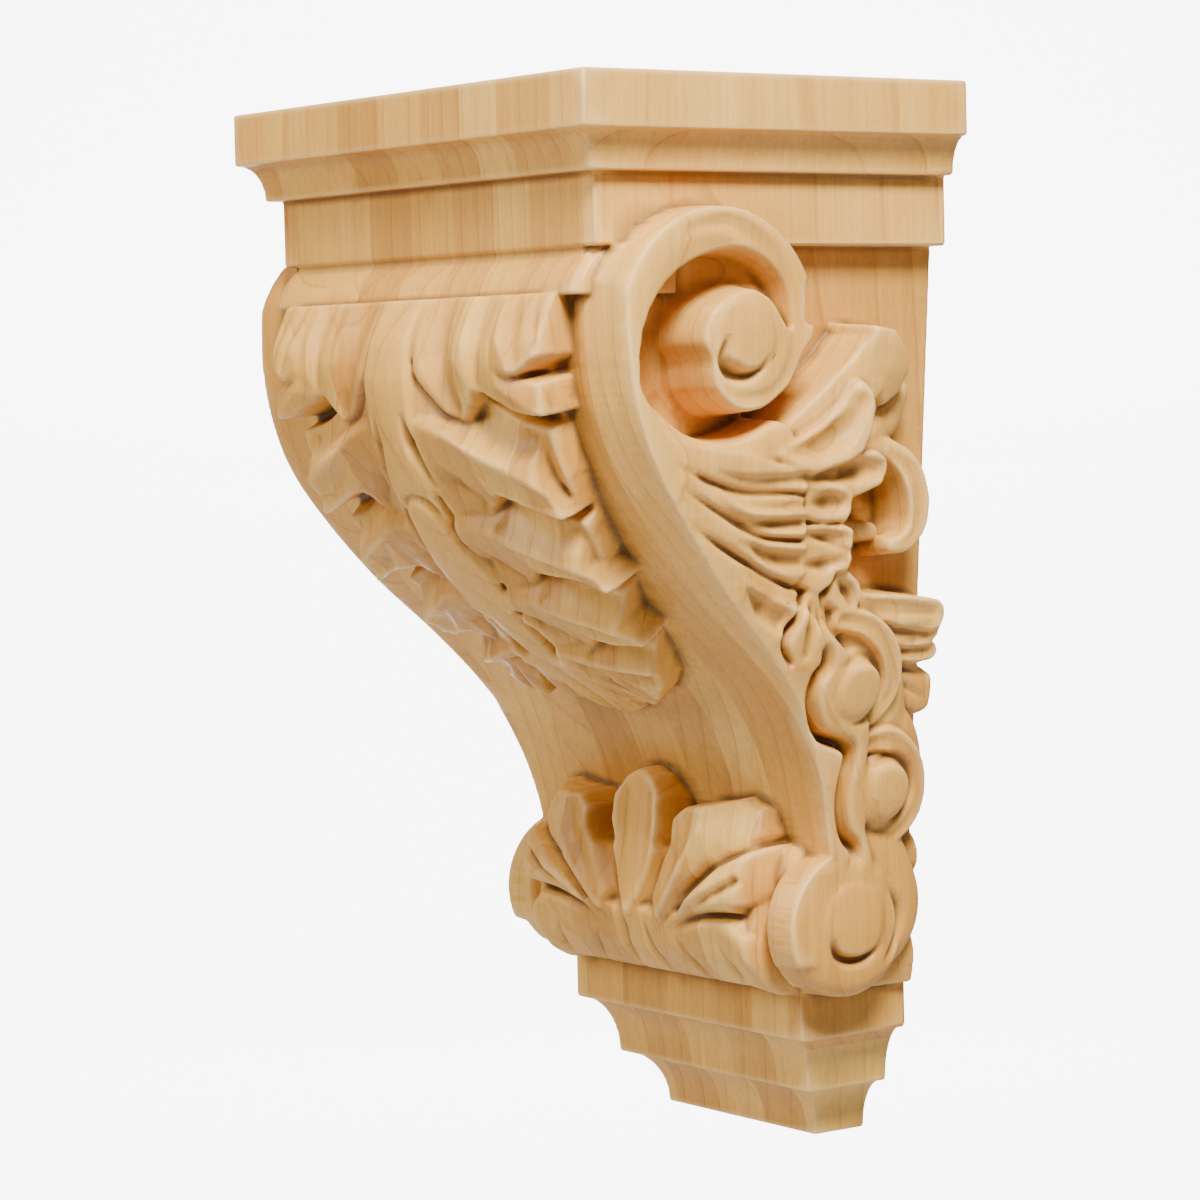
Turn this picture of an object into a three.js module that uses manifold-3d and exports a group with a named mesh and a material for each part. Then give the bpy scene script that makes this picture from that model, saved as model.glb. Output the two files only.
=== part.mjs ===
// Acanthus corbel: one carved bracket of glued-up hardwood, in millimetres, +Z up.
// +X is to the right as seen from the front, the front looks along -Y, and the wall is the plane Y = 0.
// The origin is the middle of the flat back that the corbel is fixed by.
import * as THREE from "three";
import { mergeVertices } from "three/addons/utils/BufferGeometryUtils.js";
import Module from "manifold-3d";

const wasm = await Module();
wasm.setup();

// Overall size and the cap
const height = 356;
const capWidth = 211;
const capDepth = 155;
const capFascia = 18;
const capCornerRadius = 2.5;
const capCoveDrop = 12.5;
const capCoveInset = 7.5;
const capLip = 1;
const friezeStep = 4.5;
const friezeDrop = 23;

// Quarter-round moulding under the frieze, on the front only
const ovoloDrop = 15;
const ovoloSetBack = 3;
const ovoloReach = 6;
const ovoloEndSet = 1;
const ovoloRoot = 30;

// Stepped foot
const footWidth = 84;
const footDepth = 22;
const footStepHeight = 18;
const footStepWidth = 25;
const footStepCove = 12;
const footCoveHeight = 20;
const footCoveWidth = 21.6;
const footFascia = 20;

// Side panels and the scroll band that stands proud of them
const panelTopWidth = 171.4;
const panelFootWidth = 132;
const scrollTopWidth = 221;
const scrollFootWidth = 166;
const bandCover = 1.5;

// The scroll band swells from its foot width to its top width between these shares of its height.
const swellFrom = 0.13;
const swellTo = 0.74;

// Carving: heights of the relief over the ground that carries it
const leafHeight = 20;
const leafRootHeight = 13;
const shellHeight = 9;
const shellRoot = 14;
const rootSink = 6;
const berryRadius = 9;
const berryCup = 6;
const eyeRadius = 12.5;
const drumRadius = 24.5;
const drumRoot = 26;

const material = new THREE.MeshStandardMaterial({ color: 0xd9b27c, roughness: 0.5, metalness: 0 });

// Levels, counted up from the underside
const footStepTop = footStepHeight;
const footCoveTop = footStepTop + footCoveHeight;
const footTop = footCoveTop + footFascia;
const friezeTop = height - capFascia - capCoveDrop;
const friezeFoot = friezeTop - friezeDrop;
const carvedHeight = friezeFoot - footTop;

// Plans of the mouldings: half width and depth
const cap = { half: capWidth / 2, depth: capDepth };
const coveTop = { half: cap.half - capLip, depth: cap.depth - capLip };
const cove = { half: cap.half - capCoveInset, depth: cap.depth - capCoveInset };
const frieze = { half: cove.half - friezeStep, depth: cove.depth - friezeStep };
const foot = { half: footWidth / 2, depth: footDepth };
const footStep = { half: foot.half + footStepWidth / 2, depth: foot.depth + footStepWidth / 2 };
const fascia = { half: footStep.half + footCoveWidth / 2, depth: footStep.depth + footCoveWidth / 2 };

// The carving is drawn on a sheet of this size, from the wall to the frieze's front
// and from the foot's top to the frieze, and stretched to the real blank.
const sheetDepth = 143;
const sheetHeight = 244;
const sheetHalf = 94;

// The finest detail that a solid keeps, the gap at which corners are one,
// and how far one form runs into the next
const sliver = 0.02;
const touching = 0.001;
const overlap = 4;

// Makes a closed three.js geometry into a solid, with its faces pointing out.
function solid(geometry) {
  const shape = geometry.clone();
  for (const name of Object.keys(shape.attributes)) {
    if (name !== "position") shape.deleteAttribute(name);
  }
  const merged = mergeVertices(shape, touching / 10);
  const spot = merged.attributes.position;
  const corner = [new THREE.Vector3(), new THREE.Vector3(), new THREE.Vector3()];
  const kept = [];
  let volume = 0;
  for (let i = 0; i < merged.index.count; i += 3) {
    const face = [0, 1, 2].map((k) => merged.index.getX(i + k));
    if (face[0] === face[1] || face[1] === face[2] || face[2] === face[0]) continue;
    face.forEach((v, k) => corner[k].fromBufferAttribute(spot, v));
    volume += corner[0].dot(corner[1].cross(corner[2]));
    kept.push(face);
  }
  const triVerts = new Uint32Array(kept.flatMap((f) => (volume > 0 ? f : [f[0], f[2], f[1]])));
  const vertProperties = spot.array;
  return new wasm.Manifold(new wasm.Mesh({ numProp: 3, vertProperties, triVerts, tolerance: sliver }));
}

// Joins geometries into one solid.
function join(shapes) {
  return shapes.map(solid).reduce((whole, next) => whole.add(next));
}

// Brings a solid back as a geometry without slivers: corners that all but touch are merged,
// and two faces that then lie back to back go.
function toGeometry(body) {
  const mesh = body.getMesh();
  const raw = new THREE.BufferGeometry();
  raw.setAttribute("position", new THREE.BufferAttribute(mesh.vertProperties, 3));
  raw.setIndex(new THREE.BufferAttribute(mesh.triVerts, 1));
  const geometry = mergeVertices(raw, touching);
  const faces = new Map();
  for (let i = 0; i < geometry.index.count; i += 3) {
    const face = [0, 1, 2].map((k) => geometry.index.getX(i + k));
    if (new Set(face).size < 3) continue;
    const key = [...face].sort((p, q) => p - q).join();
    if (faces.has(key)) faces.delete(key);
    else faces.set(key, face);
  }
  geometry.setIndex([...faces.values()].flat());
  return geometry;
}

// Reads a short list of values at share t of its length, easing from one to the next.
function along(list, t) {
  if (typeof list === "number") return list;
  const place = THREE.MathUtils.clamp(t, 0, 1) * (list.length - 1);
  const step = Math.min(Math.floor(place), list.length - 2);
  return THREE.MathUtils.lerp(list[step], list[step + 1], place - step);
}

// A carved bar: a box bent by place(t, v, w), where t runs 0 to 1 along it, v runs -1 to 1
// across it, and w is 0 at its sunk underside and 1 at its carved face.
function bar(steps, lanes, place) {
  const box = new THREE.BoxGeometry(1, 2, 1, steps, lanes, 1);
  const spot = box.attributes.position;
  for (let i = 0; i < spot.count; i++) {
    const p = place(spot.getX(i) + 0.5, spot.getY(i), spot.getZ(i) + 0.5);
    spot.setXYZ(i, p.x, p.y, p.z);
  }
  return box;
}

// How blunt a rounded tip is left: the square of its end's share of the width
const bluntTip = 0.06;

// A stroke of carving laid on a chart: chart(a, b, rise) gives the point over the ground.
// path is its centre line, width its half width along the path, rise its height along the path,
// and section its height across the path as a share of the rise. A tip share over 0 rounds its end,
// with the steps drawn closer there.
function stroke(chart, { path, width, rise, section = [1, 1], steps = 4, tip = 0, sink = rootSink }) {
  const line = new THREE.SplineCurve(path.map(([a, b]) => new THREE.Vector2(a, b)));
  return bar(steps, section.length - 1, (u, v, w) => {
    const t = tip ? Math.sin((u * Math.PI) / 2) : u;
    const centre = line.getPointAt(t);
    const way = line.getTangentAt(t);
    const over = tip ? Math.max(0, (t - 1 + tip) / tip) : 0;
    const half = along(width, t) * Math.sqrt(Math.max(bluntTip, 1 - over * over));
    const a = centre.x - way.y * half * v;
    const b = centre.y + way.x * half * v;
    const share = along(section, (v + 1) / 2);
    return chart(a, b, w ? along(rise, t) * share : -sink);
  });
}

// The S sweep of the front: its points on the sheet, from under the frieze down to the foot
const sweepPoints = [
  [142, 244], [143.5, 226], [143, 208], [139.5, 190], [132, 172], [118, 152], [101, 132], [80.5, 112],
  [63.5, 92], [53.5, 72], [47.5, 52], [45.5, 36], [45, 10],
];
const sweep = new THREE.SplineCurve(sweepPoints.map(([a, b]) => onSheet(a, b)));

// A point of the sheet as (Y, height): a is the distance from the wall, b the height over the foot.
function onSheet(a, b) {
  return new THREE.Vector2((-a * frieze.depth) / sheetDepth, footTop + (b * carvedHeight) / sheetHeight);
}

// Distance from the wall to the sweep at a level
const sweepSamples = sweep.getSpacedPoints(200);
function sweepY(z) {
  const next = sweepSamples.findIndex((p) => p.y <= z);
  if (next < 1) return sweepSamples[next < 0 ? sweepSamples.length - 1 : 0].x;
  const [p, q] = [sweepSamples[next - 1], sweepSamples[next]];
  return THREE.MathUtils.lerp(p.x, q.x, (p.y - z) / (p.y - q.y));
}

// Half width over the side panels, and over the scroll band, at a level
function panelHalf(z) {
  const share = (z - footTop) / carvedHeight;
  return THREE.MathUtils.lerp(panelFootWidth, panelTopWidth, share) / 2;
}

function scrollHalf(z) {
  const share = (z - footTop) / carvedHeight;
  const swell = THREE.MathUtils.smoothstep(share, swellFrom, swellTo);
  return THREE.MathUtils.lerp(scrollFootWidth, scrollTopWidth, swell) / 2;
}

// Chart of the right side: rise 1 is the face of the scroll band and rise 0 the panel.
// Under the panel, a rise below 0 is in millimetres.
function sideChart(a, b, rise) {
  const p = onSheet(a, b);
  const half = THREE.MathUtils.lerp(panelHalf(p.y), scrollHalf(p.y), Math.max(rise, 0));
  return new THREE.Vector3(half + Math.min(rise, 0), p.x, p.y);
}

// Chart of the front: a across, b along the sweep from the frieze down, on the sheet's scale
const sweepOnSheet = 280;
function leafChart(a, b, rise) {
  const t = THREE.MathUtils.clamp(b / sweepOnSheet, 0, 1);
  const p = sweep.getPointAt(t);
  const way = sweep.getTangentAt(t);
  return new THREE.Vector3((a * frieze.half) / sheetHalf, p.x + way.y * rise, p.y - way.x * rise);
}

// Chart of the shell on the lower roll
const rollPoints = [[48, 76], [57, 62], [64, 46], [68, 26], [64, 8], [50, -2]];
const roll = new THREE.SplineCurve(rollPoints.map(([a, b]) => onSheet(a, b)));
const rollOnSheet = 90;
function shellChart(a, b, rise) {
  const t = THREE.MathUtils.clamp(1 - b / rollOnSheet, 0, 1);
  const p = roll.getPointAt(t);
  const way = roll.getTangentAt(t);
  return new THREE.Vector3((a * frieze.half) / sheetHalf, p.x + way.y * rise, p.y - way.x * rise);
}

// A square block of the mouldings, from z0 to z1. Its plan stays the same, or where a second plan
// is given it swells to that along a quarter-round hollow: a cove.
const coveSteps = 5;
function block(plan0, z0, z1, plan1 = plan0) {
  return bar(plan1 === plan0 ? 1 : coveSteps, 1, (t, v, w) => {
    const share = 1 - Math.sqrt(1 - t * t);
    const half = THREE.MathUtils.lerp(plan0.half, plan1.half, share);
    const depth = THREE.MathUtils.lerp(plan0.depth, plan1.depth, share);
    return new THREE.Vector3(v * half, w ? -depth : 0, THREE.MathUtils.lerp(z0, z1, t));
  });
}

function capBlock() {
  const plan = new THREE.Shape();
  const r = capCornerRadius;
  plan.moveTo(-cap.half, 0);
  plan.lineTo(-cap.half, -cap.depth + r);
  plan.absarc(-cap.half + r, -cap.depth + r, r, Math.PI, Math.PI * 1.5, false);
  plan.absarc(cap.half - r, -cap.depth + r, r, Math.PI * 1.5, Math.PI * 2, false);
  plan.lineTo(cap.half, 0);
  const slab = new THREE.ExtrudeGeometry(plan, { depth: capFascia, bevelEnabled: false, curveSegments: 4 });
  return slab.translate(0, 0, height - capFascia);
}

function mouldings() {
  return [
    capBlock(),
    block(cove, friezeTop, height - capFascia, coveTop),
    block(frieze, friezeFoot, friezeTop),
    block(foot, 0, footStepTop - footStepCove + overlap),
    block(foot, footStepTop - footStepCove, footStepTop, footStep),
    block(footStep, footStepTop, footCoveTop, fascia),
    block(fascia, footCoveTop, footTop + overlap),
  ];
}

// Swelling bead under the frieze, let back into the body
function ovolo() {
  const half = frieze.half - ovoloEndSet;
  return bar(1, 6, (t, v, w) => {
    const down = (v + 1) / 2;
    const bulge = Math.sin((down * Math.PI) / 2);
    const front = -frieze.depth + ovoloSetBack - bulge * (ovoloSetBack + ovoloReach);
    const x = THREE.MathUtils.lerp(-half, half, t);
    return new THREE.Vector3(x, w ? front : -frieze.depth + ovoloRoot, friezeFoot - down * ovoloDrop);
  });
}

// The ground: the body between the side panels, and the wider band behind the front's sweep
const bandThick = [16, 10, 9, 10, 11, 12, 12, 11, 9, 9, 9, 10, 12];
const bandEnd = 0.94;
function ground() {
  const core = bar(14, 1, (t, v, w) => {
    const z = THREE.MathUtils.lerp(footTop - overlap, friezeFoot + overlap, t);
    return new THREE.Vector3(v * panelHalf(z), w ? sweepY(z) + bandCover : 0, z);
  });
  const band = bar(18, 1, (t, v, w) => {
    const p = sweep.getPointAt(t * bandEnd);
    const back = p.x + along(bandThick, t);
    return new THREE.Vector3(v * scrollHalf(p.y), w ? p.x : back, p.y);
  });
  return [core, band];
}

// Upper volute: a ribbon that winds from the band over the top and in to its eye
const voluteCentre = [105, 213];
const voluteEye = [98.5, 214];
const voluteStart = 205;
const voluteTurn = 355;
function volute() {
  const ribbon = bar(22, 3, (t, v, w) => {
    const angle = THREE.MathUtils.degToRad(voluteStart - voluteTurn * t);
    const outer = along([38, 40, 42, 41, 37, 31, 25, 20, 13], t);
    const wide = along([11, 13, 15, 15, 14.5, 13, 12, 10, 6], t);
    const radius = outer - (wide * (v + 1)) / 2;
    const inward = v > 0.9 ? 0.7 : 1;
    const a = voluteCentre[0] - radius * Math.cos(angle);
    const b = voluteCentre[1] + radius * Math.sin(angle);
    return sideChart(a, b, w ? inward : -rootSink);
  });
  return [ribbon, boss(...voluteEye, eyeRadius + 1, 1.02)];
}

// A round boss on the right side, its axis along X, with a bevelled rim
function boss(a, b, radius, rise, { bevel = 1.5, from = -rootSink, sides = 14 } = {}) {
  const face = sideChart(a, b, rise).x;
  const root = sideChart(a, b, 0).x + from;
  const outline = [[0, root], [radius, root], [radius, face - bevel], [radius - bevel, face], [0, face]];
  const turned = new THREE.LatheGeometry(outline.map(([r, x]) => new THREE.Vector2(r, x)), sides);
  const centre = onSheet(a, b);
  return turned.rotateZ(-Math.PI / 2).translate(0, centre.x, centre.y);
}

const side = (details) => stroke(sideChart, details);

// Fan of hollow flutes that spring from the band under the volute
const flute = [1, 0.95, 1];
function fan() {
  const starts = [[128, 179], [122, 170], [116, 161], [108, 151], [98, 141]];
  const ends = [[71, 170], [69, 159], [68, 148], [70, 137], [76, 126]];
  const flutes = starts.map((from, i) => {
    const to = ends[i];
    const bend = [(from[0] + to[0]) / 2, (from[1] + to[1]) / 2 - 4];
    return side({
      path: [from, bend, to], width: [4, 5.4, 6], rise: [1, 0.97, 0.9], section: flute, tip: 0.3, steps: 3,
    });
  });
  const border = side({
    path: [[136, 192], [121, 180], [100, 176], [82, 182]], width: [4, 6, 7, 7], rise: [0.96, 0.9, 0.88, 0.85],
  });
  return [...flutes, border];
}

// Leaf that climbs behind the volute: its standing lobe, the lobe folded over it, and the next below
const hollow = [1, 0.93, 1];
function climbingLeaf() {
  return [
    side({
      path: [[92, 178], [72, 186], [54, 198], [37, 211]], width: [5, 9, 13, 10], rise: [0.8, 0.7, 0.7, 0.75],
      section: [0.7, 1], tip: 0.3,
    }),
    side({
      path: [[84, 176], [66, 184], [47, 201]],
      width: [5, 9, 6], rise: [0.85, 0.85, 0.9], section: hollow, tip: 0.3,
    }),
    side({
      path: [[78, 170], [58, 173], [37, 179]],
      width: [5, 7, 6], rise: [0.88, 0.9, 0.85], section: hollow, tip: 0.3,
    }),
  ];
}

// Hooked tendril that curls round a deep hollow beside the husk
function tendril() {
  return side({
    path: [[38, 182], [24, 173], [19, 160], [27, 149], [46, 148]], width: [5, 5, 5.5, 6, 5], steps: 7,
    rise: [0.5, 0.62, 0.66, 0.64, 0.6],
  });
}

// Husk: the small leaves under the fan's ends
function husk() {
  const leaves = [
    [[70, 167], [62, 163], [57, 155]], [[69, 153], [61, 148], [57, 140]],
    [[74, 133], [67, 122], [65, 110]], [[62, 141], [54, 136], [48, 126]],
  ];
  const rise = [0.92, 0.95, 0.9];
  return leaves.map((path) => side({ path, width: [5, 6.5, 5], rise, section: hollow, tip: 0.4, steps: 3 }));
}

// Three flutes and a smaller leaf that flare toward the wall beside the upper berry
function flare() {
  const fingers = [
    [[46, 131], [28, 130], [9, 126]], [[44, 124], [28, 120], [9, 117]], [[42, 118], [26, 112], [9, 108]],
  ];
  const leaf = [[[30, 107], [16, 101], [5, 95]], [[28, 103], [18, 95], [9, 87]]];
  const carve = (width, rise) => (path) => side({ path, width, rise, section: hollow, tip: 0.3, steps: 3 });
  return [
    ...fingers.map(carve([4, 5, 5.4], [0.7, 0.8, 0.75])),
    ...leaf.map(carve([4, 5, 4], [0.55, 0.6, 0.55])),
  ];
}

// The vine that runs down from the husk, with its two berries in their cups
function vine() {
  const stem = side({
    path: [[46, 126], [40, 100], [26, 80], [21, 62], [20, 46], [19, 32]],
    width: [10, 15, 19, 19, 18, 19], rise: [0.8, 0.8, 0.85, 0.85, 0.85, 0.8],
    section: [0.75, 1, 1, 0.75], steps: 7,
  });
  const berries = [[42, 100], [25, 63]].map(([a, b]) => [
    boss(a, b, berryRadius + berryCup, 0.9),
    boss(a, b, berryRadius, 1.05),
  ]);
  return [stem, ...berries.flat()];
}

// Lower drum with its eye
const drumCentre = [37, 20];
function drum() {
  const [a, b] = drumCentre;
  return [
    boss(a, b, drumRadius, 1, { bevel: 3, from: -drumRoot, sides: 20 }),
    boss(a - 1, b + 3, eyeRadius, 1.12, { bevel: 1.5 }),
  ];
}

// The left twin of a right-hand solid
function mirror(body) {
  return solid(toGeometry(body).scale(-1, 1, 1));
}

// Right half of the leaf: in each tier a broad lobe turns down beside the midrib, and two
// narrower ones run out over it to the edge. The tiers shrink down the sweep.
const ridge = [0.72, 1, 0.84, 1, 0.72];
const keel = [0.75, 1, 0.75];
const tiers = [
  { from: 16, down: 34, reach: 84, lobe: 44, start: 0.35 },
  { from: 46, down: 30, reach: 86, lobe: 38, start: 1 },
  { from: 76, down: 28, reach: 79, lobe: 34, start: 1 },
  { from: 106, down: 27, reach: 68, lobe: 31, start: 1 },
  { from: 134, down: 24, reach: 48, lobe: 28, start: 0.95 },
];
function leafLobes() {
  const h = leafHeight;
  const lobe = (path, width, section, rise, steps = 4) => (
    stroke(leafChart, { path, width, rise, section, steps, tip: 0.34 }));
  const lobes = tiers.flatMap(({ from, down, reach, lobe: turn, start }) => {
    const rise = [h * start * 0.85, h, h * 0.95];
    const at = (x, share) => [x, from + down * share];
    return [
      lobe([at(10, 0), at(turn * 0.58, 0.62), at(turn, 1)], [8, 11, 7], ridge, rise),
      lobe([at(13, 0), at(reach * 0.6, 0.3), at(reach, 0.42)], [7, 10, 8], keel, rise, 3),
      lobe([at(turn * 0.66, 0.42), at(reach * 0.64, 0.66), at(reach * 0.93, 0.86)], [7, 9, 7], keel, rise, 3),
    ];
  });
  return [
    ...lobes,
    lobe([[5, 138], [20, 156], [32, 168]], [6, 9, 6], keel, [h * 0.9, h * 0.8, h * 0.5], 3),
    lobe([[2, 142], [9, 162], [14, 178]], [6, 8, 6], keel, [h * 0.9, h * 0.7, h * 0.4], 3),
  ];
}

function leafMiddle() {
  const h = leafHeight;
  const rib = stroke(leafChart, {
    path: [[0, 14], [0, 60], [0, 120], [0, 184]], width: [16, 13, 10, 8, 4], steps: 8,
    rise: [h * 0.35, h, h, h, h * 0.85, h * 0.35], section: [0.9, 1, 0.9],
  });
  const bed = stroke(leafChart, {
    path: [[0, 14], [0, 80], [0, 166]], width: [76, 74, 62, 48, 22], steps: 7,
    rise: [leafRootHeight * 0.5, leafRootHeight, leafRootHeight, leafRootHeight * 0.6],
  });
  return [rib, bed];
}

// Shell on the lower roll: a middle lobe and three more on each side
function shellLobes() {
  const r = shellHeight;
  const lobe = (foot, top, width, rise = [r * 0.4, r, r]) => stroke(shellChart, {
    path: [foot, [(foot[0] * 2 + top[0] * 3) / 5, (foot[1] + top[1]) / 2], top],
    width, rise, section: [0.2, 0.8, 0.8, 0.2], tip: 0.3, sink: shellRoot,
  });
  return [
    lobe([9, 13], [33, 82], [5, 13, 16]),
    lobe([13, 12], [60, 68], [5, 11, 13]),
    lobe([17, 10], [65, 37], [6, 13, 13], [r * 0.4, r, r * 0.8]),
  ];
}

function shellMiddle() {
  const core = stroke(shellChart, {
    path: [[0, 2], [0, 45], [0, 78]], width: [68, 66, 50], rise: [0.5, 1, 1], steps: 7, sink: 34,
  });
  const lobe = stroke(shellChart, {
    path: [[0, 10], [0, 45], [0, 89]], width: [5, 12, 17], rise: [shellHeight * 0.4, shellHeight, shellHeight],
    section: [0.2, 0.8, 0.8, 0.2], tip: 0.3,
  });
  return [core, lobe];
}

const rightSide = join([
  ...volute(), ...fan(), ...climbingLeaf(), tendril(), ...husk(), ...flare(), ...vine(), ...drum(),
]);
const rightFront = join([...leafLobes(), ...shellLobes()]);
const right = rightSide.add(rightFront);
const middle = join([...mouldings(), ovolo(), ...ground(), ...leafMiddle(), ...shellMiddle()]);
const whole = middle.add(right).add(mirror(right));

const corbel = new THREE.Mesh(toGeometry(whole), material);
corbel.name = "corbel";
corbel.position.z = -height / 2;

const part = new THREE.Group();
part.add(corbel);
export default part;
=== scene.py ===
# %% [markdown]
# # Acanthus corbel
# A corbel is a bracket that holds up a shelf or a mantel. This one is carved out of a block of pale
# maple boards: a stepped cap, scroll sides with a fan, leaves and berries, an acanthus leaf that rolls
# down an S-shaped front, and a shell over a stepped foot.
#
# It could be sculpted by hand in Blender's sculpt mode, but then nobody could change it afterwards.
# So the carving is written down the way a carver works. Each side of the block gets a relief, which is
# a sheet of heights in millimetres, and the reliefs are cut out of a block of small cells.

import math

import bmesh
import bpy
import numpy as np
import openvdb
from mathutils import Matrix, Vector


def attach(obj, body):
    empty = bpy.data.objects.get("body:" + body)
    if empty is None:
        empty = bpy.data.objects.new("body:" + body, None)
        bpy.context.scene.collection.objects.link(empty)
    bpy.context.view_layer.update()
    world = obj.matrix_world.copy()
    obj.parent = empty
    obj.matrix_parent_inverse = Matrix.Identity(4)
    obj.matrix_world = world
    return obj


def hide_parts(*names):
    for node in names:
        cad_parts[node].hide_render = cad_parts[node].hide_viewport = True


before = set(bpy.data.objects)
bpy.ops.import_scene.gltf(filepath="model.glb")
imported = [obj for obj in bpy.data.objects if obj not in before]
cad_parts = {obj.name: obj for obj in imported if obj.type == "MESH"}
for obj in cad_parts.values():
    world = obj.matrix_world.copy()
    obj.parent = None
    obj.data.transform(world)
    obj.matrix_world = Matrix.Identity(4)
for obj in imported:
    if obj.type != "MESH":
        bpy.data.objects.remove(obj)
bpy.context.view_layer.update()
HEIGHT = 356.0

# %% [markdown]
# ## Camera
# The camera stands to the right of the front and a little above the middle, far away and with a long
# lens, so upright edges stay nearly upright. Its place and tilt were worked out from the straight
# edges of the mouldings. Blender could aim it with a Track To constraint, but a plain matrix made of
# yaw, pitch and roll says exactly where it looks.

# %% Camera
CAMERA_AT = (1.0390, -0.8225, 0.0822)
CAMERA_YAW = math.radians(54.36)
CAMERA_PITCH = math.radians(3.33)
CAMERA_ROLL = math.radians(-1.335)
SENSOR = 36
CAMERA_LENS = SENSOR * 3752 / 1200


def aim(at, yaw, pitch, roll):
    """The camera's matrix: it looks down its own -Z, with Y up."""
    back = Vector((math.sin(yaw) * math.cos(pitch), -math.cos(yaw) * math.cos(pitch), math.sin(pitch)))
    right = Vector((math.cos(yaw), math.sin(yaw), 0))
    up = back.cross(right)
    level = Matrix((right, up, back)).transposed()
    return Matrix.Translation(at) @ (level @ Matrix.Rotation(roll, 3, "Z")).to_4x4()


camera_data = bpy.data.cameras.new("camera")
camera_data.sensor_width = SENSOR
camera_data.lens = CAMERA_LENS
camera = bpy.data.objects.new("camera", camera_data)
camera.matrix_world = aim(CAMERA_AT, CAMERA_YAW, CAMERA_PITCH, CAMERA_ROLL)
bpy.context.scene.collection.objects.link(camera)
bpy.context.scene.camera = camera
print("camera lens:", round(CAMERA_LENS, 1), "mm")

# %% [markdown]
# ## Smooth lines
# A carver draws a flowing line through a few marks. `curve` does the same: it runs a smooth line
# through the points it is given. `between` reads a short list, such as the widths along a stroke, and
# eases from one value to the next. Blender's own curves could do it, but here the numbers are needed
# in numpy, long before there is a mesh.

# %% Smooth lines
CELL = 0.7
FINE = CELL / 2


def between(values, share):
    """Reads a list of values at a share of its length, easing from one to the next."""
    values = np.atleast_1d(np.asarray(values, float))
    if len(values) == 1:
        return np.full_like(share, values[0])
    return np.interp(share * (len(values) - 1), np.arange(len(values)), values)


def curve(points, count=40):
    """A smooth line through the points."""
    p = np.array(points, float)
    if len(p) == 2:
        return p[0] + (p[1] - p[0]) * np.linspace(0, 1, count)[:, None]
    t = np.linspace(0, len(p) - 1, count)
    i = np.minimum(t.astype(int), len(p) - 2)
    w = (t - i)[:, None]
    p0, p1, p2, p3 = p[np.maximum(i - 1, 0)], p[i], p[i + 1], p[np.minimum(i + 2, len(p) - 1)]
    v0, v1 = (p2 - p0) / 2, (p3 - p1) / 2
    return (2 * p1 - 2 * p2 + v0 + v1) * w**3 + (3 * p2 - 3 * p1 - 2 * v0 - v1) * w**2 + v0 * w + p1


print("cells of", CELL, "mm, relief sheets drawn at", FINE, "mm")

# %% [markdown]
# ## Sanding
# A cut made in cells has tiny steps. Blurring the numbers along each direction takes them off, as
# sandpaper does. A Smooth modifier could do it on the finished mesh, but it shrinks thin ridges. The
# same blur is used again later, to find out which places are sheltered.

# %% Sanding
def soften(values, sigma, axis):
    """Blurs an array along one direction."""
    reach = max(1, int(math.ceil(2.5 * sigma)))
    weights = np.exp(-0.5 * (np.arange(-reach, reach + 1) / sigma) ** 2)
    weights /= weights.sum()
    pads = [(0, 0)] * values.ndim
    pads[axis] = (reach, reach)
    padded = np.pad(values, pads, mode="edge")
    out = np.zeros_like(values)
    for k, w in enumerate(weights):
        take = [slice(None)] * values.ndim
        take[axis] = slice(k, k + values.shape[axis])
        out += w * padded[tuple(take)]
    return out


print("a single step, sanded:", soften(np.repeat([0.0, 1.0], 4), 0.7, 0).round(2))

# %% [markdown]
# ## Reliefs
# A relief is a sheet of heights over two directions, u and v. A carver has few kinds of cut, and so
# has the sheet: `raise_` leaves a rounded stroke standing, `cut` runs a gouge along a line, `disc`
# leaves a round boss, and `facet` leaves flat chip-carved faces between corners. A mesh with
# displacement could hold such heights too, but sheets of numbers are quick to cut and can't fold over.

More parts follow.
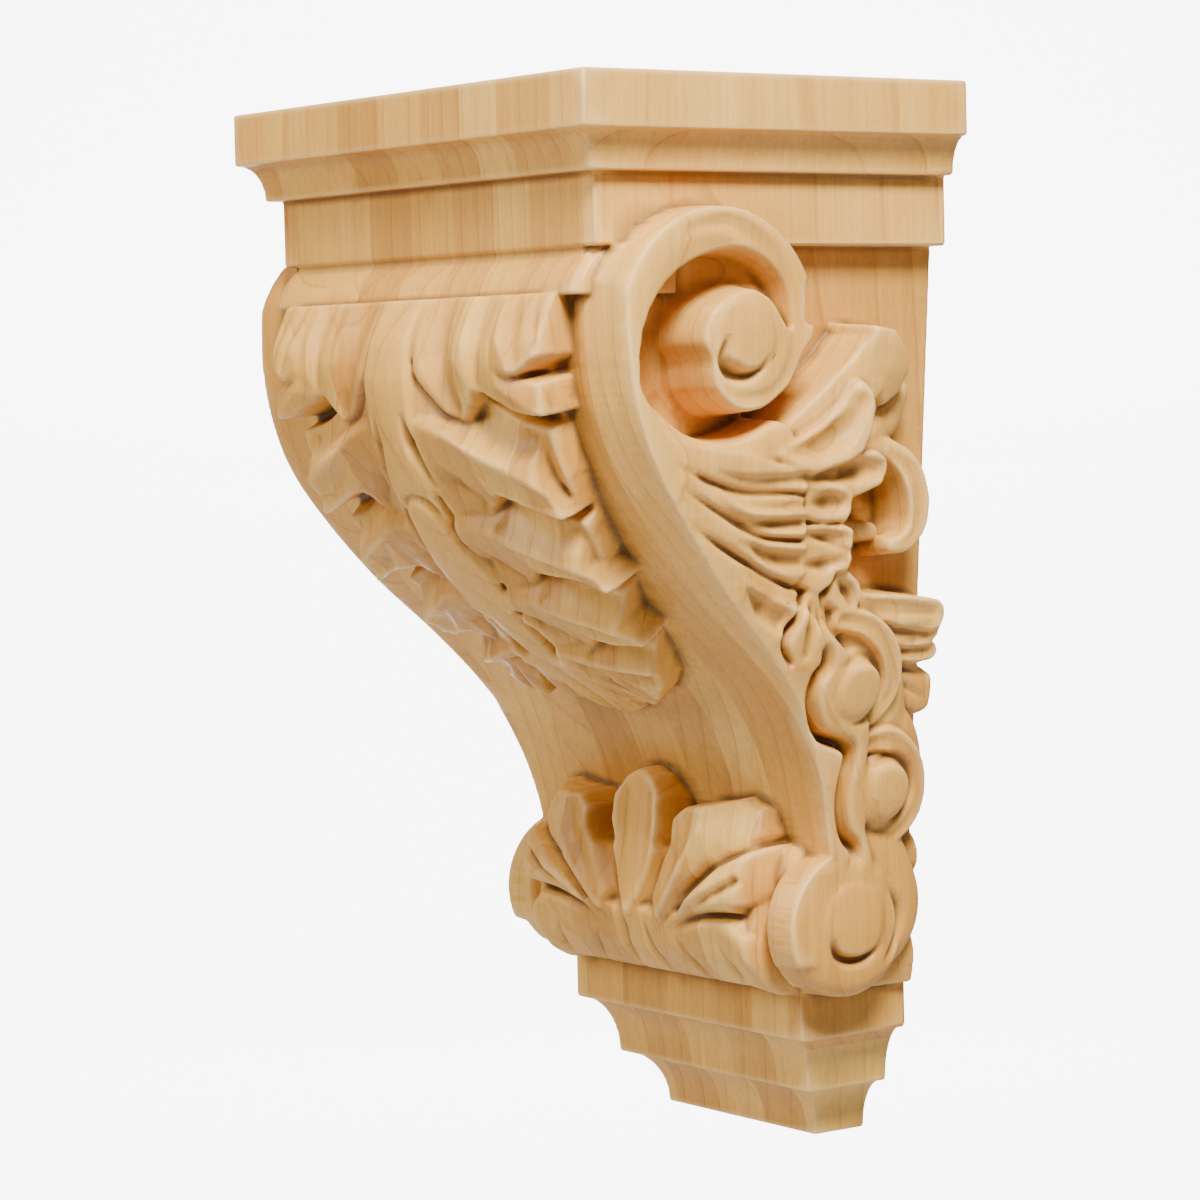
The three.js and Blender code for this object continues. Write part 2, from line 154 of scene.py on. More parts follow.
# %% Reliefs
class Relief:
    """Heights over u and v, in millimetres. A top of 1 is base + span, and 0 is base."""

    def __init__(self, u, v, fill=0.0):
        self.u, self.v = u, v
        self.height = np.full((len(u), len(v)), float(fill))
        self.base = np.zeros_like(self.height)
        self.span = np.ones_like(self.height)

    def near(self, path, reach):
        """The cells near a path: their window, share along it, and signed distance across it."""
        line = curve(path)
        low, high = line.min(0) - reach - 1, line.max(0) + reach + 1
        iu = slice(*np.searchsorted(self.u, [low[0], high[0]]))
        iv = slice(*np.searchsorted(self.v, [low[1], high[1]]))
        uu, vv = np.meshgrid(self.u[iu], self.v[iv], indexing="ij")
        best = np.full(uu.shape, 1e9)
        share, side = np.zeros_like(best), np.ones_like(best)
        steps = np.hypot(*(line[1:] - line[:-1]).T)
        run = np.concatenate([[0], np.cumsum(steps)])
        for k, step in enumerate(steps):
            du, dv = (line[k + 1] - line[k]) / max(step, 1e-9)
            pu, pv = uu - line[k, 0], vv - line[k, 1]
            s = np.clip(pu * du + pv * dv, 0, step)
            d = np.hypot(pu - s * du, pv - s * dv)
            closer = d < best
            best[closer] = d[closer]
            share[closer] = (run[k] + s[closer]) / run[-1]
            side[closer] = np.where(du * pv[closer] - dv * pu[closer] >= 0, 1, -1)
        return (iu, iv), share, best * side

    def raise_(self, path, width, top, section=None, soft=1.2):
        """Leaves a stroke standing, or fills up to it where the sheet is lower."""
        window, share, across = self.near(path, float(np.max(width)))
        wide = between(width, share)
        q = across / wide
        new = self.base[window] + self.span[window] * between(top, share)
        if section:
            new = new - section(q, share)
        edge = np.clip(wide * (1 - np.abs(q)), 0, soft)
        new = new - (soft - np.sqrt(np.maximum(soft**2 - (soft - edge) ** 2, 0)))
        old = self.height[window]
        self.height[window] = np.where(np.abs(q) <= 1, np.maximum(old, new), old)

    def cut(self, path, width, depth, shape="v", floor=-99.0):
        """Takes a stroke away, down from the surface that is there."""
        window, share, across = self.near(path, float(np.max(width)))
        q = np.clip(np.abs(across) / between(width, share), 0, 1)
        form = {"v": 1 - q, "u": 1 - q**2, "slot": np.clip((1 - q) * 3, 0, 1)}[shape]
        old = self.height[window]
        self.height[window] = np.minimum(old, np.maximum(old - between(depth, share) * form, floor))

    def disc(self, at, radius, top, dome=0.0, soft=1.2):
        """Leaves a round boss, flat or domed."""
        self.raise_([at, (at[0] + 0.01, at[1])], radius, top, lambda q, t: dome * q**2, soft)

    def facet(self, corners):
        """Leaves a chip-carved face: flat triangles from the first (u, v, height) corner."""
        first = corners[0]
        for second, third in zip(corners[1:-1], corners[2:]):
            us, vs = [c[0] for c in (first, second, third)], [c[1] for c in (first, second, third)]
            iu = slice(*np.searchsorted(self.u, [min(us), max(us)]))
            iv = slice(*np.searchsorted(self.v, [min(vs), max(vs)]))
            uu, vv = np.meshgrid(self.u[iu], self.v[iv], indexing="ij")
            area = (us[1] - us[0]) * (vs[2] - vs[0]) - (us[2] - us[0]) * (vs[1] - vs[0])
            if abs(area) < 1e-6 or uu.size == 0:
                continue
            b = ((uu - us[0]) * (vs[2] - vs[0]) - (us[2] - us[0]) * (vv - vs[0])) / area
            c = ((us[1] - us[0]) * (vv - vs[0]) - (uu - us[0]) * (vs[1] - vs[0])) / area
            inside = (b >= -0.01) & (c >= -0.01) & (b + c <= 1.01)
            new = first[2] + b * (second[2] - first[2]) + c * (third[2] - first[2])
            old = self.height[iu, iv]
            self.height[iu, iv] = np.where(inside, np.maximum(old, new), old)

    def done(self, sigma=0.5):
        """Sands the sheet, and returns the heights and how steep they are."""
        h = soften(soften(self.height, sigma / FINE, 0), sigma / FINE, 1)
        gu, gv = np.gradient(h, FINE, FINE)
        return h, np.sqrt(1 + gu**2 + gv**2)


print("kinds of cut:", [name for name in vars(Relief) if not name.startswith("__")])

# %% [markdown]
# ## Sections of a stroke
# Seen end on, a stroke is dished like a gouge's cut, or domed like a rounded stem. Each of these
# helpers says how much comes off the top of a stroke at a place across it: q is 0 in the middle, and
# -1 or 1 at the edges. A bevel profile on a curve object gives such sections too, but as a mesh of
# its own that would have to be joined.

# %% Sections of a stroke
def hollow(depth):
    """Dished, with a lip along both edges."""
    return lambda q, t: depth * np.clip(1 - (q / 0.8) ** 2, 0, 1)


def dome(depth):
    """Rounded over."""
    return lambda q, t: depth * q**2


print("a hollow 2 mm deep takes off", hollow(2)(0, 0), "mm in its middle")

# %% [markdown]
# ## Blank
# Before any leaf is cut, the block is sawn to its outline. Levels are counted up from the underside
# and distances out from the wall. The front follows one S sweep, and it could be lofted as a surface,
# but a line is enough: every cell can ask how far it is from it. Each side has a flat panel, which
# gets wider upward, and a scroll band along the sweep that stands proud of it.

# %% Blank
FOOT_TOP, FRIEZE_FOOT = 58.0, 302.5
SIDE_RUN = FRIEZE_FOOT - FOOT_TOP
PANEL_AT_FOOT, PANEL_WIDENS = 66, 19.7
BAND_AT_FOOT, BAND_WIDENS = 83, 27.5
SWEEP = curve([
    (142, 302.5), (143.5, 284), (143, 266), (139.5, 248), (132, 230), (118, 210), (101, 190),
    (80.5, 170), (63.5, 150), (53.5, 130), (47.5, 110), (45.5, 94), (45, 68)], 420)

out = np.arange(-2, 170, FINE)
level = np.arange(-4, 362, FINE)


def panel_half(z):
    """From the middle to the side panel, at a level."""
    return PANEL_AT_FOOT + PANEL_WIDENS * (z - FOOT_TOP) / SIDE_RUN


def band_half(z):
    """From the middle to the scroll band's face, at a level."""
    share = np.clip(((z - FOOT_TOP) / SIDE_RUN - 0.13) / 0.61, 0, 1)
    return BAND_AT_FOOT + BAND_WIDENS * share * share * (3 - 2 * share)


def sweep_out(z):
    """How far out the S sweep is at a level."""
    return np.interp(z, SWEEP[::-1, 1], SWEEP[::-1, 0])


side = Relief(out, level)
side.base[:] = panel_half(level)[None, :]
side.span[:] = (band_half(level) - panel_half(level))[None, :]
side.height[:] = np.where((level > FOOT_TOP - 1) & (level < FRIEZE_FOOT + 1), panel_half(level), -20)
print("side relief:", side.height.shape, "cells")

# %% [markdown]
# ## Scroll band
# The band is the strap that the whole side hangs from. It follows the sweep, and it is wide at the
# waist, where the fan lies over it. Its face is flat, with the outer edge eased over. A bevelled
# curve object would give an even strap, but this one changes its width all the way down.

# %% Scroll band
WEB_LEVELS = [58, 75, 95, 110, 130, 150, 170, 190, 210, 230, 250, 262, 275]
WEB_WIDTHS = [20, 22, 20, 17, 21, 29, 34, 29, 24, 18, 15, 14, 12]
EASED = 6
at_level = sweep_out(level)
web = np.interp(level, WEB_LEVELS, WEB_WIDTHS)
depth_in = at_level[None, :] - out[:, None]
on_band = (depth_in < web[None, :]) & (level[None, :] > 66) & (level[None, :] < 276)
edge = np.clip((web[None, :] - depth_in) / EASED, 0, 1)
face = side.base + side.span * (0.86 + 0.14 * np.sqrt(1 - (1 - edge) ** 2))
side.height = np.where(on_band, np.maximum(side.height, face), side.height)
print("scroll band:", round(float(on_band.sum()) * FINE**2 / 100, 1), "square cm on each side")

# %% [markdown]
# ## Volute
# At the top the band rolls in on itself. The ribbon starts on the sweep, goes over the top and comes
# round under the eye. A spiral from a formula would be too perfect. So the angle turns steadily, but
# the radius is read from a short list, and the line can be a little out of true, as a carver's is.

# %% Volute
VOLUTE_AT = (105.5, 271.5)
RIBBON_INSET = 6
turns = np.radians(205 - 355 * np.linspace(0, 1, 15))
outer = np.interp(np.linspace(0, 8, 15), np.arange(9), [39, 41.5, 43.5, 43, 39.5, 33.5, 27, 21.5, 15])
ribbon = [(VOLUTE_AT[0] - (r - RIBBON_INSET) * math.cos(t), VOLUTE_AT[1] + (r - RIBBON_INSET) * math.sin(t))
          for r, t in zip(outer, turns)]
corner = (level[None, :] > 284) & (level[None, :] < 303) & (out[:, None] > 112)
side.height = np.where(corner, panel_half(level)[None, :], side.height)
side.raise_(ribbon, 6.5, [1.0, 1.0, 1.0, 1.0, 0.98, 0.95, 0.92], dome(1.0), soft=1.5)
side.raise_([(110, 271), (104, 272)], 33, 0.96, soft=1)
print("volute ribbon:", len(ribbon), "points")

# %% [markdown]
# ## Volute's channel and eye
# Between the ribbon and the eye runs a deep channel that ends on the side panel. Its floor and its
# width both change on the way, so it is cut straight into the heights instead of with one gouge. The
# eye is a drum with a comma-shaped cut in its face, and a fine groove follows the ribbon.

# %% Volute's channel and eye
CHANNEL = [(79, 277), (84, 288), (94, 294), (107, 292.5), (119, 285), (125.5, 270), (119, 251), (102, 243),
           (87, 245), (74, 253), (66, 264)]
CHANNEL_HALF = [1.0, 3.5, 5.6, 7.2, 10.0, 13.3, 10.5, 6.3, 5.0, 5.5, 7.0]
CHANNEL_FLOOR = [0.75, 0.5, 0.3, 0.1, 0, 0, 0, 0.12, 0.2, 0.12, 0.0]
window, along, off = side.near(CHANNEL, 16)
half_wide = between(CHANNEL_HALF, along)
floor_at = side.base[window] + side.span[window] * between(CHANNEL_FLOOR, along)
wall = np.clip((np.abs(off) - half_wide) / 1.5, 0, 1)
rounded = 3.0 * np.clip(np.abs(off) / half_wide, 0, 1) ** 4
cut_to = floor_at + (side.height[window] - floor_at) * wall + rounded
side.height[window] = np.minimum(side.height[window], cut_to)
side.disc((98, 273), 12.5, 1.02, dome=0.6, soft=1.6)
side.cut([(105.5, 272), (106.5, 267), (103.5, 262.8), (97, 261), (91.5, 263), (88.5, 267)],
         [1.2, 2.2, 3.4, 2.6, 1.6, 1.0], [2.0, 3.5, 6, 4.5, 2.5, 0.8], "u")
side.cut([(120, 306), (104, 309), (88, 300), (78, 284), (77, 268), (85, 256), (97, 253.5), (107, 257)],
         [1.5, 3.2, 4.0, 4.0, 3.6, 3.4, 3.0, 1.0], [0.5, 1.4, 1.8, 1.8, 1.6, 1.4, 1.2, 0.3], "u")
print("channel up to", 2 * max(CHANNEL_HALF), "mm wide")

# %% [markdown]
# ## Fan under the volute
# Under the volute a fan of six flutes spreads out like a scallop. Its rim is scalloped where the flutes
# run out. The fan is one flat face, fanned from the corner under the volute, and the flutes are gouge
# cuts that get wider to the rim. `on_side` turns a share into a height: 0 is the panel and 1 is the
# face of the band, so the fan stays between them where the side gets wider.

# %% Fan under the volute
def on_side(*points):
    """Corners whose height is a share of the way from the panel to the band's face."""
    made = []
    for o, z, share in points:
        low, high = float(panel_half(z)), float(band_half(z))
        made.append((o, z, low + share * (high - low)))
    return made


def side_face(*points):
    """A chip-carved face on the side, with its corners given in shares."""
    side.facet(on_side(*points))


FLUTE_WIDER, FLUTE_DEEPER = 1.1, 1.35
side.raise_([(136, 250), (121, 238), (100, 234), (82, 240)], [4, 6, 7, 7], [0.96, 0.94, 0.92, 0.88],
    dome(1.5))
side_face((95, 213, 0.97), (136, 246, 0.98), (121, 240, 0.97), (100, 237, 0.95), (73.6, 230, 0.92),
    (70.2, 224, 0.9), (71.0, 219, 0.88), (69.0, 213, 0.88), (70.4, 209, 0.87), (67.6, 202, 0.87),
    (68.6, 197.5, 0.86), (71.0, 194.5, 0.85), (69.4, 190, 0.86), (71.5, 185, 0.86), (73.4, 180, 0.87),
    (78, 177.3, 0.9), (86.8, 180.4, 0.93), (94.4, 187, 0.95), (98, 194, 0.96), (103, 199, 0.97),
    (114, 204, 0.98), (136, 246, 0.98))
for path, wide, deep in (
        ([(110, 231), (95, 227.4), (84, 227), (73, 227.6)], [0.8, 2.4, 2.8, 2.6], [0.4, 2.0, 2.4, 1.6]),
        ([(106, 225), (95, 220.8), (84, 219.6), (72.6, 219.6)], [0.8, 2.2, 2.5, 2.4], [0.4, 1.6, 2.2, 1.6]),
        ([(106, 220.5), (95, 215.2), (84, 213.6), (71.4, 213.6)],
         [0.8, 2.2, 2.6, 2.5], [0.4, 2.4, 3.2, 2.4]),
        ([(100, 209), (87, 204.2), (78, 202.4), (70, 201.5)], [0.8, 3.0, 3.6, 3.4], [0.4, 2.4, 3.0, 2.2]),
        ([(99, 200.6), (86, 194.4), (78, 191), (71.5, 188.5)], [0.8, 2.6, 3.0, 2.6], [0.4, 2.0, 2.6, 1.6]),
        ([(94, 193.0), (86, 187.2), (78.5, 183)], [1.5, 4.4, 4.6], [1.0, 3.8, 3.2])):
    side.cut(path, [w * FLUTE_WIDER for w in wide], [d * FLUTE_DEEPER for d in deep], "u")
for path in ([(126, 233.8), (114, 229), (95, 224), (75.9, 223.2), (68, 222)],
             [(124, 226.5), (105, 217), (89, 210.2), (78, 208.4), (68, 207.8)],
             [(120, 215.2), (105.7, 207.2), (90, 199.8), (78, 194.6), (68, 192)]):
    side.cut(path, [0.6, 1.8, 2.2, 2.0, 1.6], [0.7, 3.4, 5.4, 5.4, 4.2], "v")
print("fan with six flutes")

# %% [markdown]
# ## Climbing leaf
# From behind the fan a blunt leaf climbs to the back edge of the volute, and two small lobes curl off
# it. They are laid one over another, as a carver works from the background to the front: first a
# rounded stroke for the stem, then flat faces for the lobes, then scoops down their middles.

# %% Climbing leaf
side.raise_([(78, 238), (60, 247), (46, 258), (39, 266)], [6, 8.5, 9.5, 8.5], [0.75, 0.76, 0.78, 0.8],
    dome(1.2), soft=1.5)
side_face((34, 262, 0.82), (42, 277, 0.86), (32, 275.5, 0.82), (26.5, 270, 0.76), (23, 262, 0.7),
    (27.5, 254, 0.66), (34, 250, 0.66), (39.5, 253, 0.7), (44, 262, 0.8), (42, 277, 0.86))
side.raise_([(36, 242), (27, 247), (21, 254)], [7, 8.5, 7], [0.56, 0.48, 0.4], dome(3.5), soft=3)
blunt = (out[:, None] > 20) & (out[:, None] < 72) & (level[None, :] > 277.5) & (level[None, :] < 290)
side.height = np.where(blunt, np.minimum(side.height, panel_half(level)[None, :]), side.height)
side_face((60, 241, 0.9), (76, 240, 0.9), (63.7, 246, 0.84), (55.3, 251.5, 0.86), (51, 258, 0.9),
    (48.5, 259, 0.92), (45.2, 255.5, 0.96), (44, 251, 0.97), (45.2, 242.6, 0.98), (49.3, 236, 0.98),
    (55.6, 232.6, 0.97), (68.9, 229.4, 0.96), (76, 231, 0.94), (84, 236, 0.92), (76, 240, 0.9))
side.cut([(80, 236), (66, 238), (56, 243), (49.5, 252)], [1.5, 4.4, 5.2, 3.2], [0.5, 3.4, 4.4, 2.2], "u")
side.cut([(57, 248), (52, 254), (50, 258)], [0.6, 1.2, 0.8], [0.5, 2.0, 0.8], "v")
side_face((55, 228, 0.84), (72, 229, 0.84), (62, 233, 0.84), (50, 236.4, 0.86), (41.5, 236.6, 0.86),
    (36.6, 233.5, 0.86), (35.6, 229.4, 0.85), (38.6, 224.2, 0.84), (45.3, 221.8, 0.84), (53, 219.6, 0.84),
    (58, 223, 0.84), (68.3, 225, 0.84), (72, 229, 0.84))
side.cut([(68, 228), (56, 229), (46, 230), (40, 230)], [1.2, 3.2, 4.6, 3.6], [0.4, 2.8, 4.0, 2.2], "u")
side_face((64, 228, 0.8), (80, 238, 0.88), (82, 232, 0.88), (74, 226, 0.84), (60, 222, 0.76),
    (56, 230, 0.78), (66, 236, 0.84), (80, 238, 0.88))
print("climbing leaf with two lobes")

# %% [markdown]
# ## Tendril
# A thin curl leaves the leaf, turns down along the wall and comes back in a hook. A bent tube would
# stand off the side like a wire, and a carved curl grows out of its ground. So it is a stroke on the
# sheet, thickest at its turn. A shallow groove along it leaves two lips, which catch the light.

# %% Tendril
side.raise_([(40, 238), (28, 235.5), (20.5, 229.5), (16.5, 220), (16.2, 211), (20, 205.5), (25, 204.2)],
    [2.5, 3.6, 4.6, 5.0, 5.0, 4.4, 3.4], [0.5, 0.56, 0.6, 0.62, 0.62, 0.6, 0.58], dome(0.6), soft=1.2)
side.cut([(30, 235), (20, 228), (16.5, 218), (17, 208), (22, 204.5)], [1, 3.0, 3.2, 3.0, 1.2],
    [0.4, 1.6, 2.0, 1.6, 0.4], "u")
side.raise_([(52, 209.5), (40, 209.5), (30, 209)], [3.6, 3.8, 3.6], [0.3, 0.34, 0.36], dome(1.5), soft=1.5)
print("tendril, up to", 2 * 5.0, "mm wide")

# %% [markdown]
# ## Husk
# Six little leaves cup the place where the fan, the tendril and the vine meet. Each is a flat face
# with a pointed outline, and one or two scoops. They could be leaf meshes laid on the block, but
# faces on one sheet leave no seams. A raised ground is cut first, so that no gap is left between
# them.

# %% Husk
side_face((60, 200, 0.7), (72, 228, 0.7), (52, 224, 0.72), (50, 212, 0.72), (49.5, 202, 0.72),
    (44, 192, 0.7), (46, 180, 0.68), (54, 172, 0.7), (64, 168, 0.72), (72, 176, 0.72), (74, 190, 0.72),
    (72, 228, 0.7))
side_face((60, 219, 0.84), (70, 226, 0.86), (62.1, 226, 0.88), (55.9, 225, 0.9), (51.8, 221.8, 0.9),
    (51.8, 217, 0.9), (53.5, 213, 0.88), (64.5, 213.5, 0.84), (70, 215, 0.82), (70, 226, 0.86))
side.cut([(68, 219.5), (61, 220), (56, 219.4)], [2, 4.2, 3.4], [1, 3.4, 2.4], "u")
side_face((59, 204, 0.8), (70, 213, 0.8), (53.5, 212.2, 0.88), (50.3, 211, 0.9), (49.4, 202.3, 0.9),
    (50.9, 197.8, 0.9), (55.4, 197, 0.88), (56.9, 193.2, 0.88), (61.7, 190.4, 0.88), (65.5, 191.4, 0.86),
    (70, 194, 0.82), (70, 213, 0.8))
side.cut([(68, 209.5), (60, 208.8), (53.5, 208)], [1.6, 2.6, 2.0], [1, 2.6, 1.4], "u")
side.cut([(68, 200), (60, 199.5), (54, 201)], [1.6, 3.0, 2.2], [1, 2.8, 1.4], "u")
side.cut([(66, 209.2), (57.5, 206.4), (49.5, 202.5)], [0.6, 1.2, 0.9], [0.5, 2.4, 1.8], "v")
side_face((49, 190, 0.78), (54, 197, 0.8), (50.7, 198, 0.84), (44.6, 193.3, 0.86), (42.8, 188.9, 0.86),
    (45.2, 183.6, 0.86), (48.2, 182.8, 0.86), (52.1, 184.8, 0.84), (57, 189, 0.8), (54, 197, 0.8))
side.cut([(53, 194), (48.5, 190), (47, 186)], [1.5, 2.6, 2.0], [1, 3.0, 1.6], "u")
side_face((54, 183, 0.74), (60, 190, 0.76), (57, 189, 0.78), (51, 184.4, 0.8), (47.6, 179.2, 0.8),
    (51, 174.6, 0.8), (56.1, 176, 0.8), (60, 190, 0.76))
side.cut([(57, 186), (53, 181), (51, 177)], [1, 2.4, 1.8], [0.8, 2.6, 1.4], "u")
side_face((64, 177, 0.86), (66, 191, 0.84), (61.5, 190, 0.86), (58.1, 180.7, 0.92), (54, 173.8, 0.94),
    (58.2, 171.2, 0.94), (60, 167.2, 0.95), (64.5, 165.8, 0.95), (71.2, 169.6, 0.95), (73, 176.7, 0.95),
    (71, 181.6, 0.94), (67.5, 186.5, 0.9), (66, 191, 0.84))
side.cut([(65, 188), (65.5, 178), (66.5, 171)], [1, 3.0, 2.2], [0.8, 3.0, 1.6], "u")
side.cut([(62, 188), (60.5, 180), (58, 175)], [0.6, 2.0, 1.4], [0.6, 2.4, 1.2], "u")
side.cut([(67, 192), (72, 183), (76, 175), (72, 168)], [1.0, 1.6, 1.8, 1.2], [2, 7, 9, 5], "v")
print("husk with six leaves")

# %% [markdown]
# ## Flare toward the wall
# Behind the husk three ribbed lobes flare toward the wall and end square at it. They are dished
# strokes side by side, with thin grooves between them. Fluted cylinders would do as well, but strokes
# on the same sheet run into the ground without a seam.

# %% Flare toward the wall
side.raise_([(44, 182), (28, 178), (14, 176)], [9, 10, 9], [0.42, 0.42, 0.4])
side.raise_([(38, 185.5), (22, 182.8), (7, 180.5)], [4, 5.6, 5.8], [0.72, 0.72, 0.66], hollow(1.8),
    soft=1.2)
side.raise_([(34, 179), (20, 175.5), (7, 175)], [3, 5.0, 4.8], [0.7, 0.7, 0.64], hollow(3.2), soft=1.0)
side.cut([(22, 176), (14, 176.6), (8, 176.4)], [0.5, 1.0, 0.6], [0.4, 1.2, 0.5], "v")
side.raise_([(22, 169), (12, 168.2), (4.5, 168)], [3, 3.9, 3.9], [0.6, 0.6, 0.56], hollow(2.0), soft=1.0)
side.cut([(26, 171.8), (14, 171.6), (1, 171.6)], [0.6, 1.1, 1.0], [1.0, 3.0, 2.0], "v")
side.raise_([(28, 160), (14, 158), (5, 154)], [5, 8, 8], [0.44, 0.46, 0.42], dome(1), soft=2)
for path in ([(26, 163), (14, 162), (3, 160)],
             [(26, 161), (14, 157), (4, 152)],
             [(26, 158), (16, 152), (9, 146)]):
    side.cut(path, [0.5, 1.2, 0.9], [0.5, 2.2, 1.4], "v")
print("flare with three lobes")

# %% [markdown]
# ## Vine
# A vine hangs down to the foot and carries two berries. Its ground is three thick rounded strokes
# that run into one another. A tube along a curve could be the vine, but it would be equally round all
# over, and this one is broad and flat, because it was carved down from the block.

# %% Vine
side.raise_([(46, 186), (38, 172), (29, 158), (24, 146)], [9, 13, 14, 12], [0.74, 0.76, 0.76, 0.76],
    dome(4), soft=3)
side.raise_([(34, 150), (18, 138), (13, 122), (16, 108)], [6, 12, 11, 8], [0.7, 0.74, 0.74, 0.7],
    dome(3.5), soft=3)
side.raise_([(32, 108), (19, 97), (12, 80), (18, 66), (26, 61)], [7, 12, 11, 8, 4],
    [0.74, 0.8, 0.8, 0.74, 0.6], dome(3), soft=3)
print("ground of the vine laid")

# %% [markdown]
# ## Berries
# Each berry is a barrel with a flat face, held by a curl. A deep edge is cut first along the front of
# the vine, so that the berries stand clear of the scroll band. Cylinders would do for the barrels,
# but they would stand on the block and not grow out of it. `cone` gives the barrel its sloping wall,
# and a ring-shaped gouge cut parts it from its curl.

# %% Berries
DEEP_EDGE = [(57.5, 171.5), (57, 166.5), (60.5, 162), (60.5, 154), (54.5, 143.6), (43, 139), (41.4, 134),
    (42.4, 128), (42.6, 118.5), (39.8, 109), (35.2, 104), (35, 99.5), (36.5, 97)]
side.cut(DEEP_EDGE, 3.0, [4, 11, 12, 11, 11, 11, 11, 11, 11, 10, 10, 9, 5], "v")

BERRIES = (
    ((42.4, 157.4), [(50, 181), (41, 179.5), (32.5, 174), (27, 166), (26, 156), (32, 148), (39, 144.5)]),
    ((23.6, 122.4), [(32, 139), (23, 139.5), (14.5, 134), (9.6, 125), (9.4, 115), (14.5, 108), (21, 106)]))
BARREL, BARREL_TALL, BERRY_FACE, BERRY_RING = 17.0, 11.5, 9.0, 11.4
RING_TURN = np.radians([50, 90, 120, 150, 180, 210, 240, 270])


def cone(q, t):
    """The barrel of a berry, wider at its foot."""
    return BARREL_TALL * np.clip((np.abs(q) - 0.6) / 0.4, 0, 1) ** 1.15


for at, arc in BERRIES:
    side.raise_(arc, [3.6, 4.2, 4.4, 4.2, 3.8, 3.4, 2.6], [0.84, 0.9, 0.92, 0.92, 0.9, 0.84, 0.7],
        hollow(1.4), soft=1.0)
    side.raise_([at, (at[0] + 0.01, at[1])], BARREL, 1.0, cone, soft=1.0)
    side.disc(at, BERRY_FACE, 1.1, dome=0.5, soft=1.4)
    ring = [(at[0] + BERRY_RING * math.cos(t), at[1] + BERRY_RING * math.sin(t)) for t in RING_TURN]
    side.cut(ring, [0.8, 1.6, 2.2, 2.4, 2.4, 2.2, 1.6, 0.8], [1.0, 2.5, 3.4, 3.8, 3.8, 3.4, 2.5, 1.0], "u")
print(len(BERRIES), "berries, each", 2 * BERRY_FACE, "mm across its face")

# %% [markdown]
# ## Lower drum
# The scroll band ends in a drum at the foot. It is a broad round boss with a smaller disc for its
# eye, a hooked cut around the eye, and a nick at the back where the vine ends. A cylinder could stand
# here, but its foot wouldn't run into the vine. It is the last cut on the side, so the sheet is
# sanded after it. Its slope is kept too, because the block of cells needs it later.

# %% Lower drum
DRUM_AT, DRUM = (36.5, 78), 25.0
side.disc(DRUM_AT, DRUM, 1.02, dome=1.0, soft=7)
side.cut([(21, 90.5), (15.6, 82), (16.4, 72.9), (23, 64.4)], [1.0, 3.0, 3.2, 1.4], [1.0, 5.0, 5.2, 1.2],
    "v")
side.disc((36.2, 80.2), 13.0, 1.1, dome=0.4, soft=2.0)
side.cut([(46.0, 74), (43.2, 68.6), (36.6, 66.4), (30.4, 67.4), (24.5, 71)], [1.0, 1.9, 2.1, 1.8, 0.8],
    [1.6, 3.8, 3.8, 2.6, 0.6], "u")
side_height, side_slope = side.done()
print("side relief up to", round(float(side_height.max()), 1), "mm from the middle")

# %% [markdown]
# ## Front leaf, first tier
# The acanthus leaf hangs down the S-shaped front from under the ovolo. The sheet for it is bent round
# the sweep: u is the distance from the middle and v is the length down the sweep. The leaf is cut in
# flat faces that meet in crisp ridges, because on the real one every lobe shows the flat cuts of a
# wide chisel.

# %% Front leaf, first tier
BARE = -6.0
leaf = Relief(np.arange(-6, 116, FINE), np.arange(-4, 292, FINE), BARE)
EDGE_OUT = [(0, 70), (30, 85), (70, 85), (100, 78), (127, 65), (150, 48), (166, 33), (177, 14), (183, 2)]
edge_v, edge_u = np.array(EDGE_OUT).T
bed = np.interp(leaf.v, edge_v, edge_u)
bed_top = np.interp(leaf.v, [0, 15, 30, 60, 110, 140, 165, 184], [3, 5, 9, 9.5, 9, 8, 5, 2])
inside = leaf.u[:, None] < (bed - 9)[None, :]
leaf.height = np.where(inside & (leaf.v[None, :] > 2), bed_top[None, :], BARE)
leaf.facet([(30, 32, 18.5), (12, 10, 19), (38, 10, 19), (40, 34, 19.5), (45, 43, 17), (37, 51, 15.5),
    (27, 48, 16.5), (14, 36, 20), (12, 10, 19)])
leaf.facet([(48, 30, 19), (38, 10, 19), (57, 10, 18), (58, 36, 18.5), (50, 43, 16), (45, 43, 16.5),
    (40, 34, 19.5), (38, 10, 19)])
leaf.facet([(62, 28, 20.5), (57, 10, 18), (82, 10, 13), (82, 33, 15.5), (70, 38.5, 18.5), (58, 36, 18.5),
    (57, 10, 18)])
leaf.facet([(62, 41, 18.5), (58, 36, 18), (70, 38.5, 15), (80, 40, 13.5), (81, 50.5, 15.5), (66, 49, 15.5),
    (55, 45.5, 15), (50, 43, 16), (58, 36, 18)])
leaf.cut([(24, 12), (26, 30), (34, 46)], [9, 8, 4], [4.2, 4.6, 2.0], "u")
leaf.cut([(48, 12), (48, 26), (48, 39)], [7, 6, 3], [3.6, 3.8, 1.5], "u")
leaf.cut([(68, 38.5), (80, 38), (88, 38)], [0.8, 1.5, 2.0], [3, 8, 10], "v", floor=4)
leaf.cut([(63, 12), (66, 22), (70, 33)], [3, 5.0, 3.4], [2.0, 3.2, 1.4], "u")
leaf.cut([(74, 12), (77, 24), (80, 32)], [0.8, 1.6, 1.0], [0.8, 2.2, 1.0], "v")
print("first tier of the leaf carved")

